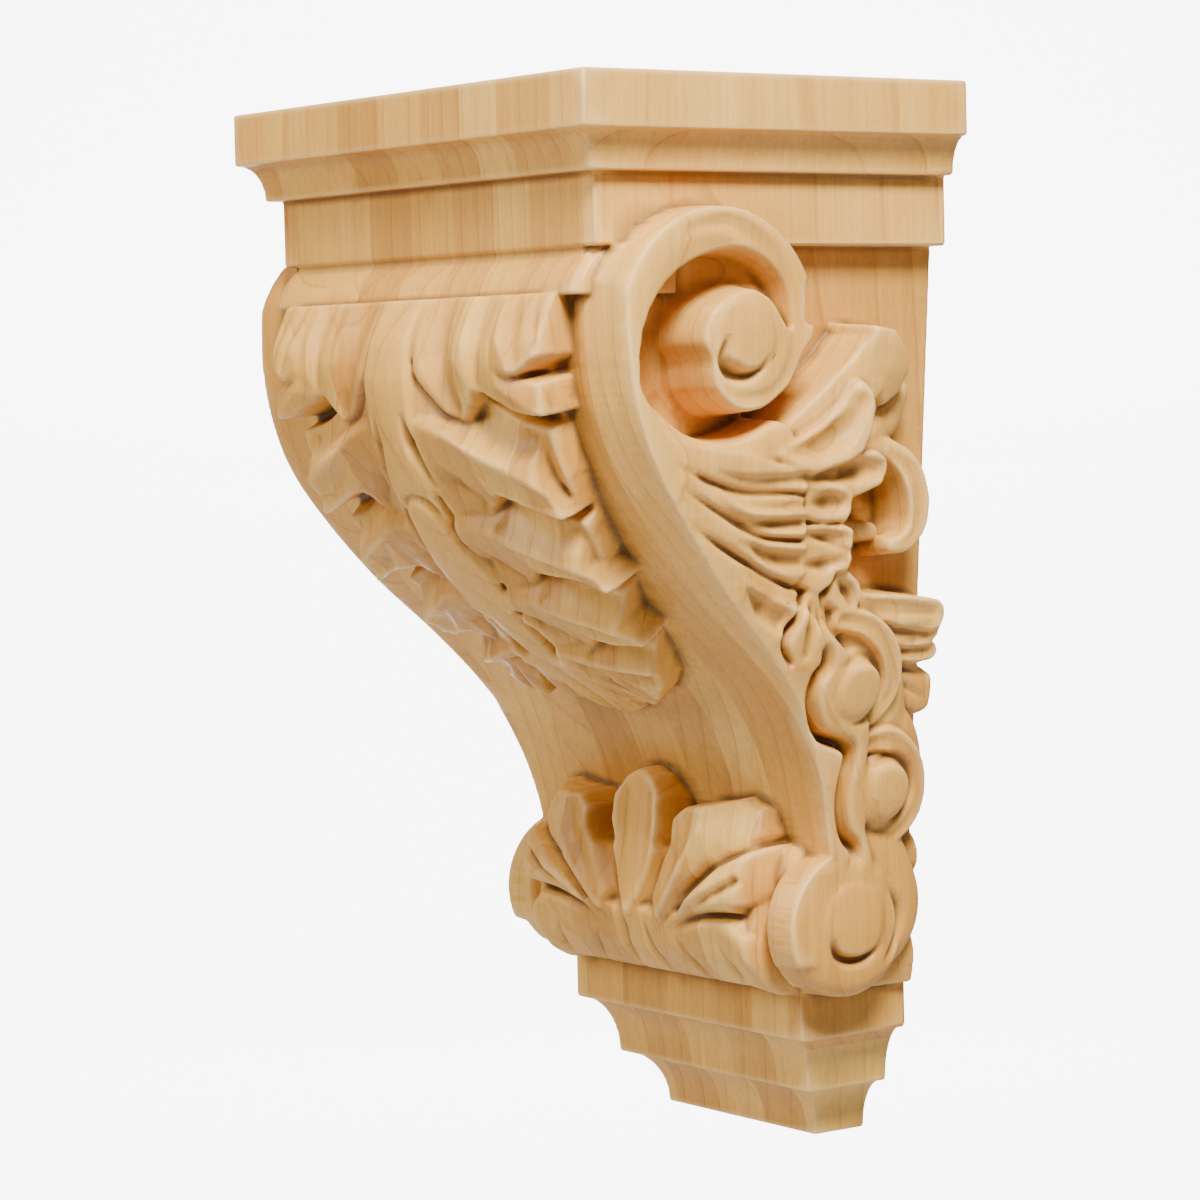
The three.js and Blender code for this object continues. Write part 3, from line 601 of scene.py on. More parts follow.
# %% [markdown]
# ## Leaf tiers
# Below the first tier come four more, each smaller than the one above. They all have the same make: a
# sharp crest that runs out to a tip, a face that falls from it to the tier above, a face that falls to
# the lower edge, and a spoon-shaped inner lobe. So a tier is written as four short lists of corners,
# and one loop carves them all.

# %% Leaf tiers
# corners are (from the middle, down the sweep, height)
UPPER_SUNK, LOWER_LIFTED = 4.5, 2.0
TIERS = (
    {"crest": [(13, 50, 20.5), (31, 54, 20), (47, 60.5, 20.3), (68.5, 68.5, 18.5), (73, 82.5, 16.0)],
     "upper": [(36, 46, 10), (52, 48, 9.5), (69, 53.5, 11)],
     "lower": [(56, 77, 14.5), (40, 72.5, 14.0)],
     "spoon": [(37, 76, 14.5), (30, 79.5, 14.5), (20, 76, 16), (11, 66, 19.5)]},
    {"crest": [(14, 80, 20.5), (33, 83, 20), (49, 91, 20.3), (65, 99, 18.5), (71.5, 112.5, 15.5)],
     "upper": [(35, 74, 10), (50, 76, 9.5), (69, 84, 11)],
     "lower": [(55, 105.5, 14.0), (35, 101.5, 13.5)],
     "spoon": [(31, 105, 14), (24, 108.5, 14), (15, 102, 16), (11, 92, 19.5)]},
    {"crest": [(15, 109, 19.5), (29, 112, 19), (42, 118.5, 19.0), (57, 126.5, 17.0), (61, 137.0, 14.0)],
     "upper": [(31, 103, 9.5), (47, 106, 9), (64, 115, 10)],
     "lower": [(48, 134.5, 13.0), (36, 131.5, 12.5)],
     "spoon": [(31, 136, 13), (25, 138.5, 13), (17, 131, 15), (10, 122, 18)]},
    {"crest": [(12, 136, 18), (25, 139, 17.5), (37, 144.5, 16.5), (50, 149.5, 14.0), (45, 160, 11.0)],
     "upper": [(28, 130, 8.5), (43, 132, 8.5), (54, 140, 9)],
     "lower": [(38, 166, 10.0), (31, 170.5, 9.0)],
     "spoon": [(27, 164, 11), (22, 157, 13.0), (14, 150, 15.5), (8, 143, 17)]},
)
for tier in TIERS:
    c, s = tier["crest"], tier["spoon"]
    u = [(x, run, high - UPPER_SUNK) for x, run, high in tier["upper"]]
    l = [(x, run, high + LOWER_LIFTED) for x, run, high in tier["lower"]]
    leaf.facet([(c[0][0], c[0][1] - 2, c[0][2] - 1.5), (7, c[0][1] - 22, c[0][2] - 0.5),
        (u[0][0] - 8, u[0][1] + 1, 14.0), (u[0][0] + 3, u[0][1] + 5, 11.0), c[1],
        (8, c[0][1] + 8, c[0][2])])
    leaf.facet([c[2], c[0], u[0], u[1], u[2], c[3]])
    leaf.facet([c[2], c[3], c[4], l[0], l[1], c[1], c[2]])
    leaf.facet([(c[1][0], c[1][1] + 4, c[1][2] - 0.6), c[0], c[1], c[2], l[1], *s, c[0]])
    # a scoop under the crest, one in the upper face, and one in the spoon
    leaf.cut([(c[1][0] + 4, c[1][1] + 6), (c[2][0] + 2, c[2][1] + 7), (c[3][0] + 1, c[3][1] + 6)],
        [2, 5.0, 4.0], [0.5, 2.8, 1.8], "u")
    leaf.cut([(c[1][0] + 8, c[1][1] - 3), (c[2][0] + 6, c[2][1] - 3), (u[2][0] - 4, u[2][1] + 5)],
        [1.5, 4.0, 4.0], [0.4, 2.2, 2.0], "u")
    leaf.cut([(s[3][0] + 6, s[3][1] - 4), (s[2][0] + 4, s[2][1] - 5), (s[1][0] - 1, s[1][1] - 5)],
        [2.5, 5.0, 4.0], [0.6, 3.4, 2.2], "u")
print("leaf has", len(TIERS) + 1, "tiers on each side")

# %% [markdown]
# ## Leaf notches
# Between two tiers the leaf is split almost down to its bed, with a round eye at the inner end of the
# split. These dark slots make the leaf look undercut. They could be painted on, but a painted slot
# looks flat as soon as the light comes from the side. So they are cut, with steep walls.

# %% Leaf notches
for tier in TIERS[:-1]:
    low, far = tier["lower"], tier["crest"][4]
    eye = (low[1][0] - 1.5, low[1][1] + 2.2)
    leaf.cut([eye, (low[1][0] + 5, low[1][1] + 2.6), (low[0][0], low[0][1] + 2.0),
        (far[0] + 3, far[1] + 1.8)], [1.1, 2.6, 2.8, 2.0], [5, 16, 15, 13], "slot", floor=2.5)
leaf.cut([(45, 44), (52, 47), (66, 51), (84, 53.5)], [1.2, 2.4, 2.0, 1.4], [5, 16, 14, 12], "slot",
    floor=3.0)
print(len(TIERS), "notches on each side")

# %% [markdown]
# ## Leaf midrib
# A round stem runs down the middle, in three lengths that lap over each other like scales. It could
# be one long tube, but three strokes on the sheet give the laps for nothing. Fine grooves along it
# part it from the tiers, and a few small drill eyes sit where two lobes meet.

# %% Leaf midrib
leaf.raise_([(0, 6), (0, 40), (0, 78)], [15, 13, 11], [21, 22, 21.5], dome(1.2), soft=1.2)
leaf.raise_([(0, 77), (0, 92), (0, 108)], [9, 13, 14], [22.5, 21.5, 20], dome(1.2), soft=1.6)
leaf.raise_([(0, 106), (0, 140), (0, 176)], [10, 7, 3], [20, 17, 7], dome(1.2), soft=1.2)
leaf.cut([(0, 70.5), (7, 73), (9.5, 80), (13, 92), (17, 104)], [1.4, 1.8, 1.8, 1.6, 0.8],
    [2.2, 3.0, 2.6, 2.2, 0.6], "v")
leaf.cut([(12, 12), (13, 32), (20, 44), (31, 52)], [1.4, 1.6, 1.4, 0.8], [1.6, 2.2, 1.8, 0.6], "v")
leaf.cut([(8.5, 48), (9, 54), (11, 62), (14, 69)], [0.9, 2.4, 1.4, 0.7], [1, 5, 2.4, 0.6], "u")
leaf.cut([(12.5, 115), (14, 120), (16, 126), (20, 131)], [0.9, 2.2, 1.4, 0.7], [1, 4.5, 2.0, 0.6], "u")
print("midrib up to", round(float(leaf.height[:20].max()), 1), "mm over the sweep")

# %% [markdown]
# ## Leaf tail
# The leaf ends in a short ribbed tail, cut as two more flat faces with grooves. At its upper end the
# whole leaf has to rise out of the sweep under the ovolo. A straight saw cut there would leave a
# step, so the heights are scaled down over the first 50 mm.

# %% Leaf tail
leaf.facet([(8, 150, 16), (0, 138, 17), (9, 139, 17), (18, 152, 14.5), (24, 164, 11), (25, 171, 8.5),
    (20, 173.5, 7.5), (12, 170, 10), (4, 158, 14), (0, 138, 17)])
leaf.facet([(4, 162, 13), (0, 148, 15.5), (8, 158, 13), (14, 172, 8.5), (13, 178, 6), (5, 181, 5),
    (0, 182, 4.5), (0, 148, 15.5)])
for path in ([(13, 147), (21, 158), (27, 171)],
             [(6, 152), (12, 163), (17, 176)],
             [(1, 156), (3, 168), (6, 182)],
             [(20, 142), (30, 152), (36, 168)]):
    leaf.cut(path, [0.8, 1.5, 1.2], [1.0, 2.2, 1.5], "v")
rise_in = np.interp(leaf.v, [0, 14, 20, 28, 38, 50], [0.4, 0.5, 0.66, 0.84, 0.96, 1.0])
leaf.height = np.where(leaf.height > 0, leaf.height * rise_in[None, :], leaf.height)
leaf_height, leaf_slope = leaf.done()
print("leaf relief up to", round(float(leaf_height.max()), 1), "mm over the sweep")

# %% [markdown]
# ## Shell
# A shell lies on the roll between the two drums: a middle petal, a petal and a folded lobe on each
# side, and small lobes beside the drums. It could be modelled flat and bent round the roll. But the
# roll is shallow, so a sheet that measures straight out from the wall needs no bending: u is the
# distance from the middle, v is the level, and the height is how far out it is. First comes the plain
# roll.

# %% Shell
shell = Relief(np.arange(-6, 116, FINE), np.arange(40, 150, FINE), 0.0)
SHELL_GROUND = 4.5
ROLL_OUT = np.interp(shell.v, [50, 54, 58, 66, 76, 86, 96, 104, 112, 120, 126, 132],
                     [40, 52, 59, 65, 68, 69, 68, 66, 63.5, 60, 56.5, 52])
shell.base[:] = ROLL_OUT[None, :] - 10
shell.span[:] = 10
roll = (shell.v > 54.5) & (shell.v < 101)
lower = (shell.v > 54.5) & (shell.v < 80)
shell.height = np.where(roll[None, :] & (shell.u[:, None] < 60), ROLL_OUT[None, :] - SHELL_GROUND, 0.0)
shell.height = np.where(lower[None, :] & (shell.u[:, None] < 56), ROLL_OUT[None, :] - 0.5, shell.height)


def roll_face(*points):
    """A chip-carved face on the shell, with its heights counted from the roll's own face."""
    shell.facet([(x, z, float(np.interp(z, shell.v, ROLL_OUT)) + rise) for x, z, rise in points])


print("roll's face up to", ROLL_OUT.max(), "mm from the wall")

# %% [markdown]
# ## Shell's lobes and petals
# The lobes beside the drum are rounded, like a thumb and a bulb. The petals are folded: each has a
# long face on one side and a steep one on the other, so they are cut as flat faces. The middle petal
# is drawn as two halves that meet in a ridge. `roll_face` counts heights from the roll, which keeps
# the corners easy to read where the roll curves away.

# %% Shell's lobes and petals
shell.raise_([(52, 76), (61, 66), (61, 56)], [6, 9, 8], [1.0, 1.05, 0.95], dome(2.5), soft=4)
roll_face((45, 89, 4.5), (26, 79, 2), (36, 88, 1), (50, 97.5, 1.5), (60, 103, 0), (68, 96, 0), (64, 85, 0),
    (56, 82.5, 1), (42, 81, 0.5), (26, 79, 2))
shell.raise_([(56, 91), (65, 98)], [8.5, 8.2], [1.3, 1.0], dome(2.5), soft=4)
roll_face((33, 94, 5.5), (17, 77, 2.5), (13, 84, 0), (19, 98, 0), (23, 106, 1.5), (23.5, 113, 4),
    (30, 117.5, 5.5), (41, 118.5, 6.5), (43, 110, 7))
roll_face((43, 110, 7), (33, 94, 5.5), (17, 77, 2.5), (34, 86, 0), (48, 96, 0.5), (58, 102, -5),
    (62, 108, -8), (60, 117, -8), (50, 121, -2), (41, 118.5, 6.5))
roll_face((0, 76, 3), (-6, 84, 1), (0, 80, 3), (6, 84, 1), (11, 97, 0.5), (14, 108, 2.0), (13.5, 118, 4.5),
    (8, 125, 6.0), (0, 128.5, 7.5))
roll_face((0, 76, 3), (0, 128.5, 7.5), (-8, 125, 6), (-13.5, 118, 4.5), (-14, 108, 2))
print("petals up to", round(float(shell.height.max()), 1), "mm from the wall")

# %% [markdown]
# ## Shell's grooves
# Wide scoops dish the petals, and sharp grooves part them and run on down over the roll as ribs. They
# could be drawn in the material's bump, but then the shell's outline would stay smooth. As cuts they
# show from every side.

# %% Shell's grooves
for path, wide, deep in (
        ([(3, 80), (6, 92), (7.5, 106), (6.5, 118)], [1, 3.6, 4.6, 3.6], [0.3, 1.6, 2.2, 1.4]),
        ([(19, 84), (26, 94), (32, 105), (33, 113)], [1.2, 3.6, 4.6, 3.8], [0.4, 1.8, 2.4, 1.4]),
        ([(26, 81), (38, 92), (49, 102)], [1.0, 2.6, 3.0], [0.3, 1.4, 1.2])):
    shell.cut(path, wide, deep, "u")
for path in ([(5, 70), (12, 92), (18, 110), (19.5, 122)],
             [(14, 73), (30, 86), (46, 97), (62, 105)],
             [(30, 80), (48, 88), (60, 94)],
             [(18, 72), (32, 78), (48, 81.5), (68, 82)],
             [(5, 76), (7, 66), (10, 55)],
             [(22, 72), (28, 62), (32, 54)],
             [(46, 72), (50, 62), (49, 53)]):
    shell.cut(path, [0.8, 1.9, 2.2, 1.4][:len(path)], [1.0, 4.0, 4.5, 3.0][:len(path)], "v")
shell_height, shell_slope = shell.done(0.8)
print("shell relief up to", round(float(shell_height.max()), 1), "mm from the wall")

# %% [markdown]
# ## Block of cells
# The reliefs are now cut out of a solid block, as a machine cutter would. The block is an array of
# small cells, and each says how much of it is wood, from 0 to 1. Booleans between meshes could join
# the pieces too, but a hundred overlapping forms often leave holes and slivers. In cells, joining is
# just taking the larger number. Only the right half is worked out, and then it is mirrored.

# %% Block of cells
xs = (np.arange(0, int(117 / CELL)) + 0.5) * CELL
ys = out[::2]
zs = level[::2]
wood = np.zeros((len(xs), len(ys), len(zs)), np.float32)
grid_out, grid_level = np.meshgrid(ys, zs, indexing="ij")


def share_of(gap):
    """Share of a cell that is wood, from how far its middle is under the surface."""
    return np.clip(gap / CELL + 0.5, 0, 1)


def add(window, new):
    """Joins more wood to what is there."""
    wood[window] = np.maximum(wood[window], new)


print("block:", wood.shape, "cells for one half")

# %% [markdown]
# ## How far from the sweep
# Every cell is told how far it is from the S sweep, and how far down the sweep its nearest point is.
# Blender's Curve modifier bends a mesh in this way. Here the two numbers do it: they bend the flat
# sheet of the front leaf round the S.

# %% How far from the sweep
sweep_at = sweep_out(zs)
near_out = np.full(grid_out.shape, 1e9)
along_sweep = np.zeros_like(near_out)
sweep_steps = np.hypot(*(SWEEP[1:] - SWEEP[:-1]).T)
sweep_run = np.concatenate([[0], np.cumsum(sweep_steps)])
for k, step in enumerate(sweep_steps):
    way = (SWEEP[k + 1] - SWEEP[k]) / step
    pa, pb = grid_out - SWEEP[k, 0], grid_level - SWEEP[k, 1]
    s = np.clip(pa * way[0] + pb * way[1], 0, step)
    d = np.hypot(pa - s * way[0], pb - s * way[1])
    closer = d < near_out
    near_out[closer] = d[closer]
    along_sweep[closer] = sweep_run[k] + s[closer]
over = np.where(grid_out > sweep_at[None, :], near_out, -near_out)
print("the sweep is", round(float(sweep_run[-1])), "mm long")

# %% [markdown]
# ## Sides and front of the block
# A cell is wood where it is under the side relief and behind the front. The front is the sweep, and
# the roll with its drums at the foot. A narrow groove parts each drum from the shell between them.
# Two extruded outlines joined by a Boolean would give a plain blank, but not with the relief in it.
# The gap to a relief is divided by how steep it is there, which keeps sloping walls smooth.

# %% Sides and front of the block
NOSE_OUT = 143.0
ROLL_AT, ROLL_RADIUS, ROLL_BOTTOM, ROLL_TOP = (37, 78), 25.5, 50, 104
CREVICE, CREVICE_HALF, CREVICE_DEPTH = 65.5, 3.5, 7.0
top_rim = np.minimum(sweep_at[None, :], NOSE_OUT) - grid_out
body = np.where(grid_level > 296, top_rim, -over)
drum_gap = ROLL_RADIUS - np.hypot(grid_out - ROLL_AT[0], grid_level - ROLL_AT[1])
body = np.maximum(body, np.minimum(drum_gap, grid_level - ROLL_BOTTOM))
for i, x in enumerate(xs):
    under = (side_height[::2, ::2] - x) / side_slope[::2, ::2]
    groove = CREVICE_DEPTH * max(0.0, 1 - abs(x - CREVICE) / CREVICE_HALF)
    front = np.maximum(-over, body - np.where(grid_level < ROLL_TOP, groove, 0))
    wood[i] = share_of(np.minimum(under, front))
print("sides and front:", round(float(wood.sum()) * 2 * CELL**3 / 1e6, 3), "litres")

# %% [markdown]
# ## Leaf on the block
# The leaf's sheet is laid on the sweep. Its outer end walls lean in a little toward the sweep, which
# undercuts them as on the real leaf, and it stops under the ovolo. Each cell could take the nearest
# height on the sheet, but reading between four of them keeps the facets flat.

# %% Leaf on the block
TUCK = 1.5
LEAF_TOP = 288.2
iy, iz = np.nonzero((over > -3) & (over < 27) & (grid_level > 90) & (grid_level < LEAF_TOP))
rise, run = over[iy, iz], along_sweep[iy, iz]
fv = np.clip((run - leaf.v[0]) / FINE, 0, len(leaf.v) - 1.01)
for i, x in enumerate(xs):
    u = x + TUCK * np.clip(x / 80, 0, 1) * np.clip(1 - rise / 18, 0, 1)
    fu = np.clip((u - leaf.u[0]) / FINE, 0, len(leaf.u) - 1.01)
    a, b = fu.astype(int), fv.astype(int)
    wa, wb = fu - a, fv - b
    top = ((leaf_height[a, b] * (1 - wa) + leaf_height[a + 1, b] * wa) * (1 - wb)
           + (leaf_height[a, b + 1] * (1 - wa) + leaf_height[a + 1, b + 1] * wa) * wb)
    wood[i, iy, iz] = np.maximum(wood[i, iy, iz], share_of((top - rise) / leaf_slope[a, b]))
print("leaf laid over", len(iy), "cells of each slice")

# %% [markdown]
# ## Shell on the block
# The shell's sheet is laid on the roll, straight out from the wall. It falls away toward the groove
# beside the drum. It could be stopped there with a wall, but that would leave a thin edge, and the
# real one dips into the groove.

# %% Shell on the block
FALL = 5
for i, x in enumerate(xs):
    a = int(round((x - shell.u[0]) / FINE))
    if a >= len(shell.u):
        break
    top = np.interp(zs, shell.v, shell_height[a], left=0, right=0)
    top = top - 14 * np.clip((x - CREVICE + FALL) / FALL, 0, 1) ** 2
    steep = np.interp(zs, shell.v, shell_slope[a])
    gap = (top[None, :] - grid_out) / steep[None, :]
    gap = np.minimum(gap, np.minimum(grid_level - 54, 150 - grid_level))
    gap = np.where(top[None, :] > 5, gap, -9)
    add(i, share_of(gap))
print("with leaf and shell:", round(float(wood.sum()) * 2 * CELL**3 / 1e6, 3), "litres")

# %% [markdown]
# ## Mouldings
# The cap and the foot are stepped mouldings that return along both sides. A moulding is usually swept
# along its path and mitred at the corners. Here each step is a block whose half width and depth grow
# together by the same amount, and that gives the mitre for free. In a cove the growth follows a
# quarter circle. Each step runs a little into the one above it, so that no seam is left between them.

# %% Mouldings
LAP = 1.6
PLANS = (
    # from, to, half width, depth, and how much a cove adds toward its top
    (0.0, 18.0, 42.0, 22.0, 11.5), (18.0, 38.0, 54.5, 34.5, 9.8), (38.0, 62.0, 65.3, 45.3, 0.0),
    (302.5, 325.5, 93.5, 143.0, 0.0), (325.5, 338.0, 98.0, 147.5, 6.8), (338.0, 356.0, 105.5, 155.0, 0.0))
for low, high, half, deep, cove in PLANS:
    t = np.clip((zs - low) / (high - low), 0, 1)
    swell = cove * (1 - np.sqrt(1 - t**2))
    steep = 1 + 0.9 * (cove > 0) * t
    tall = np.minimum(zs - low, high - zs + (0 if high == HEIGHT else LAP))
    for i, x in enumerate(xs):
        to_front = ((deep + swell) / steep)[None, :] - grid_out / steep[None, :]
        gap = np.minimum(((half + swell - x) / steep)[None, :], to_front)
        add(i, share_of(np.minimum(gap, tall[None, :])))
print("mouldings:", len(PLANS), "steps")

# %% [markdown]
# ## Ovolo
# Under the cap's frieze a rounded strip, the ovolo, runs across the front between the two volutes. A
# half-round bar could be set in there, but the section is only a quarter round, eased over at both
# ends, so it is given as a quarter wave. Last of all, everything behind the wall's plane is sawn off
# flat.

# %% Ovolo
OVOLO_FOOT, OVOLO_TOP, OVOLO_OUT = 287.5, 303, 9
END_FROM, END_RUN = 87, 5.5
down = np.clip((FRIEZE_FOOT - zs) / 15, 0, 1)
bead = NOSE_OUT - 3 + OVOLO_OUT * np.sin(down * math.pi / 2)
for i, x in enumerate(xs):
    past = max(0, (x - END_FROM) / END_RUN)
    round_end = 92.5 - x - 4 * (1 - math.sqrt(max(0, 1 - past**2)))
    gap = np.minimum(bead[None, :] - grid_out - 4 * past**2, grid_out - 110)
    gap = np.minimum(gap, np.minimum(zs - OVOLO_FOOT, OVOLO_TOP - zs)[None, :])
    add(i, share_of(np.minimum(gap, round_end)))
wood *= share_of(grid_out)[None]
print("wood:", round(float(wood.sum()) * 2 * CELL**3 / 1e6, 3), "litres")

# %% [markdown]
# ## Skin
# The halves are joined and sanded once more, and a skin is drawn round the wood where the cells are
# half full. Blender's Remesh modifier draws such a skin round a mesh. OpenVDB, which comes with
# Blender, draws it straight round the cells, and the skin is closed by its nature: it can have no
# stray faces. Its points are turned from millimetres to metres, with the wall at y = 0.

# %% Skin
whole = np.concatenate([wood[::-1], wood])
for axis in range(3):
    whole = soften(whole, 0.7, axis).astype(np.float32)
volume = openvdb.FloatGrid(0.5)
volume.copyFromArray(np.pad(0.5 - whole, 2, constant_values=0.5))
points, quads = volume.convertToQuads(0.0)
origin = np.array([-xs[-1], ys[0], zs[0]]) - 2 * CELL
points = points * CELL + origin
points = np.column_stack([points[:, 0], -points[:, 1], points[:, 2] - HEIGHT / 2]) / 1000
print("skin:", len(points), "points")

# %% [markdown]
# ## Mesh
# `foreach_set` hands Blender whole arrays at once. Adding a million faces one by one would take
# minutes. Every loop is one corner of a face, and each face says where its four loops start.

# %% Mesh
mesh = bpy.data.meshes.new("corbel_carving")
mesh.vertices.add(len(points))
mesh.vertices.foreach_set("co", points.astype(np.float32).ravel())
mesh.loops.add(quads.size)
mesh.loops.foreach_set("vertex_index", quads.astype(np.int32).ravel())
mesh.polygons.add(len(quads))
mesh.polygons.foreach_set("loop_start", np.arange(0, quads.size, 4, dtype=np.int32))
mesh.update(calc_edges=True)
mesh.validate()
carving = bpy.data.objects.new("corbel_carving", mesh)
bpy.context.scene.collection.objects.link(carving)
print("mesh:", len(mesh.polygons), "faces")

# %% [markdown]
# ## Lighter skin
# So many faces are too heavy for a part that others will use. Decimate keeps the form and spends its
# triangles where the carving is fine. It leaves long thin triangles on the flat places, and colours
# stored at points would smear along them, so the long edges are split again. The back is flat and
# plain, and keeps its large triangles.

# %% Lighter skin
TRIANGLES = 130_000
LONGEST = 0.012
BACK = -0.0015


def applied(obj):
    """The object's mesh with its modifiers worked in."""
    bpy.context.view_layer.update()
    result = bpy.data.meshes.new_from_object(obj.evaluated_get(bpy.context.evaluated_depsgraph_get()))
    obj.modifiers.clear()
    obj.data = result
    return result


thin = carving.modifiers.new("thin", "DECIMATE")
thin.ratio = TRIANGLES / (2 * len(quads))
mesh = applied(carving)
form = bmesh.new()
form.from_mesh(mesh)
for turn in range(5):
    long_edges = [e for e in form.edges if e.calc_length() > LONGEST
                  and not (e.verts[0].co.y > BACK and e.verts[1].co.y > BACK)]
    if not long_edges:
        break
    bmesh.ops.subdivide_edges(form, edges=long_edges, cuts=1)
    bmesh.ops.triangulate(form, faces=[f for f in form.faces if len(f.verts) > 3])
form.to_mesh(mesh)
form.free()
mesh.shade_smooth()
print("lighter skin:", len(mesh.polygons), "triangles")

# %% [markdown]
# ## How sheltered each point is
# On the real corbel brown stain has settled in the hollows. The same measure is also used to paint
# shade into the hollows and a highlight onto the ridges. Blender's Ambient Occlusion and Pointiness
# nodes can find such places, but they don't travel with an exported model. So the script measures
# it: it blurs the block of cells and reads it at each point. On a flat face half of the neighbourhood
# is wood, in a hollow more, and on a ridge less.

# %% Shelter
def shelter(cells):
    """How much wood is around each point, over a distance in cells, less what a flat face has."""
    step = 2 if cells > 4 else 1
    coarse = whole[::step, ::step, ::step]
    for axis in range(3):
        coarse = soften(coarse, cells / step, axis)
    spots = np.empty(len(mesh.vertices) * 3, np.float32)
    mesh.vertices.foreach_get("co", spots)
    spots = spots.reshape(-1, 3) * 1000
    at = np.column_stack([spots[:, 0], -spots[:, 1], spots[:, 2] + HEIGHT / 2])
    at = (at - (origin + 2 * CELL)) / (CELL * step)
    at = np.clip(at, 0, np.array(coarse.shape) - 1.01)
    low = at.astype(int)
    w = at - low
    value = np.zeros(len(at))
    for dx in (0, 1):
        for dy in (0, 1):
            for dz in (0, 1):
                weight = np.abs(1 - dx - w[:, 0]) * np.abs(1 - dy - w[:, 1]) * np.abs(1 - dz - w[:, 2])
                value += weight * coarse[low[:, 0] + dx, low[:, 1] + dy, low[:, 2] + dz]
    return value - 0.5


at_back = np.array([point.co.y > BACK for point in mesh.vertices])
for name, cells in (("near_shelter", 2.5), ("wide_shelter", 8.0)):
    layer = mesh.attributes.new(name, "FLOAT", "POINT")
    values = np.where(at_back, 0.0, shelter(cells))
    layer.data.foreach_set("value", values.astype(np.float32))
    print(name, "from", round(float(values.min()), 2), "to", round(float(values.max()), 2))

# %% [markdown]
# ## Maple
# The corbel is pale, close-grained wood with a satin lacquer. A photograph of wood could be wrapped
# round it, but it would stretch over the carving and show no end grain. Nodes that work from a
# point's place in the block give solid wood, which looks right however it is cut. These helpers keep
# the node tree short to write: each adds one node and links what it is given.

# %% Node helpers
maple = bpy.data.materials.new("maple")
maple.use_nodes = True
tree = maple.node_tree
shader = tree.nodes["Principled BSDF"]


def node(kind, inputs=(), **settings):
    """Adds a node, sets its options, and links or sets its inputs."""
    made = tree.nodes.new("ShaderNode" + kind)
    for key, value in settings.items():
        setattr(made, key, value)
    for key, value in dict(inputs).items():
        if isinstance(value, bpy.types.NodeSocket):
            tree.links.new(value, made.inputs[key])
        else:
            made.inputs[key].default_value = value
    return made


def math_node(operation, a, b=0.0, clamp=False):
    """One sum."""
    return node("Math", {0: a, 1: b}, operation=operation, use_clamp=clamp).outputs[0]


def vector_node(operation, a, b):
    """One sum for all three directions."""
    return node("VectorMath", {0: a, 1: b}, operation=operation).outputs[0]


def noise(vector, scale, detail, **more):
    """A smooth cloudy pattern, with spots of about 1 / scale metres."""
    return node("TexNoise", {"Vector": vector, "Scale": scale, "Detail": detail, **more}).outputs["Fac"]


def ramp(value, stops, interpolation="LINEAR"):
    """Turns a number into a colour; stops are (place, colour), or (place, grey)."""
    made = node("ValToRGB", {"Fac": value})
    band = made.color_ramp
    band.interpolation = interpolation
    while len(band.elements) < len(stops):
        band.elements.new(0.5)
    for element, (place, colour) in zip(band.elements, stops):
        element.position = place
        element.color = (*(colour if isinstance(colour, tuple) else (colour,) * 3), 1)
    return made.outputs["Color"]


def mix(factor, a, b, blend="MIX"):
    """Lays colour b over colour a."""
    made = node("Mix", data_type="RGBA", blend_type=blend)
    for name, value in (("Factor", factor), ("A", a), ("B", b)):
        socket = [s for s in made.inputs if s.name == name and s.enabled][0]
        if isinstance(value, bpy.types.NodeSocket):
            tree.links.new(value, socket)
        else:
            socket.default_value = value if name == "Factor" else (*value, 1)
    return [s for s in made.outputs if s.enabled][0]


print("maple starts with", len(tree.nodes), "nodes")

# %% [markdown]
# ## Boards
# The block is glued up from nine upright boards, and each has its own tone. A colour ramp set to
# Constant changes colour in hard steps at the glue lines, so it works like a row of boards. A second
# one gives each board its own shift, so that the rings don't run on from board to board.

# %% Boards
SPAN = 0.24
GLUE_LINES = (-0.086, -0.058, -0.037, -0.012, 0.014, 0.037, 0.058, 0.0865)
BOARD_TONES = (
    (0.93, 0.82, 0.68), (1.05, 1.06, 1.0), (1.0, 0.95, 0.86), (0.84, 0.74, 0.6), (1.03, 1.0, 0.93),
    (0.9, 0.82, 0.72), (1.1, 1.16, 1.2), (0.93, 0.85, 0.76), (1.08, 1.08, 1.14))
TONED_DOWN = 0.9
rng = np.random.default_rng(7)
BOARD_SHIFTS = rng.random((len(BOARD_TONES), 3))
place = node("TexCoord").outputs["Object"]
across = node("SeparateXYZ", {0: place}).outputs["X"]
board = math_node("ADD", math_node("DIVIDE", across, SPAN), 0.5)
starts = [0.0] + [g / SPAN + 0.5 for g in GLUE_LINES]
tone = ramp(board, list(zip(starts, [tuple(TONED_DOWN * c for c in t) for t in BOARD_TONES])), "CONSTANT")
shift = ramp(board, list(zip(starts, [tuple(s) for s in BOARD_SHIFTS])), "CONSTANT")
print("boards:", len(BOARD_TONES))

# %% [markdown]
# ## Growth rings
# Each board was cut at its own distance from the heart of the tree. The rings are wide circles about
# an upright axis, drawn by a Wave texture and bent by its distortion. So a flat face shows straight
# or arched lines, and a carved one shows them as contours. A noise makes them fade in and out.

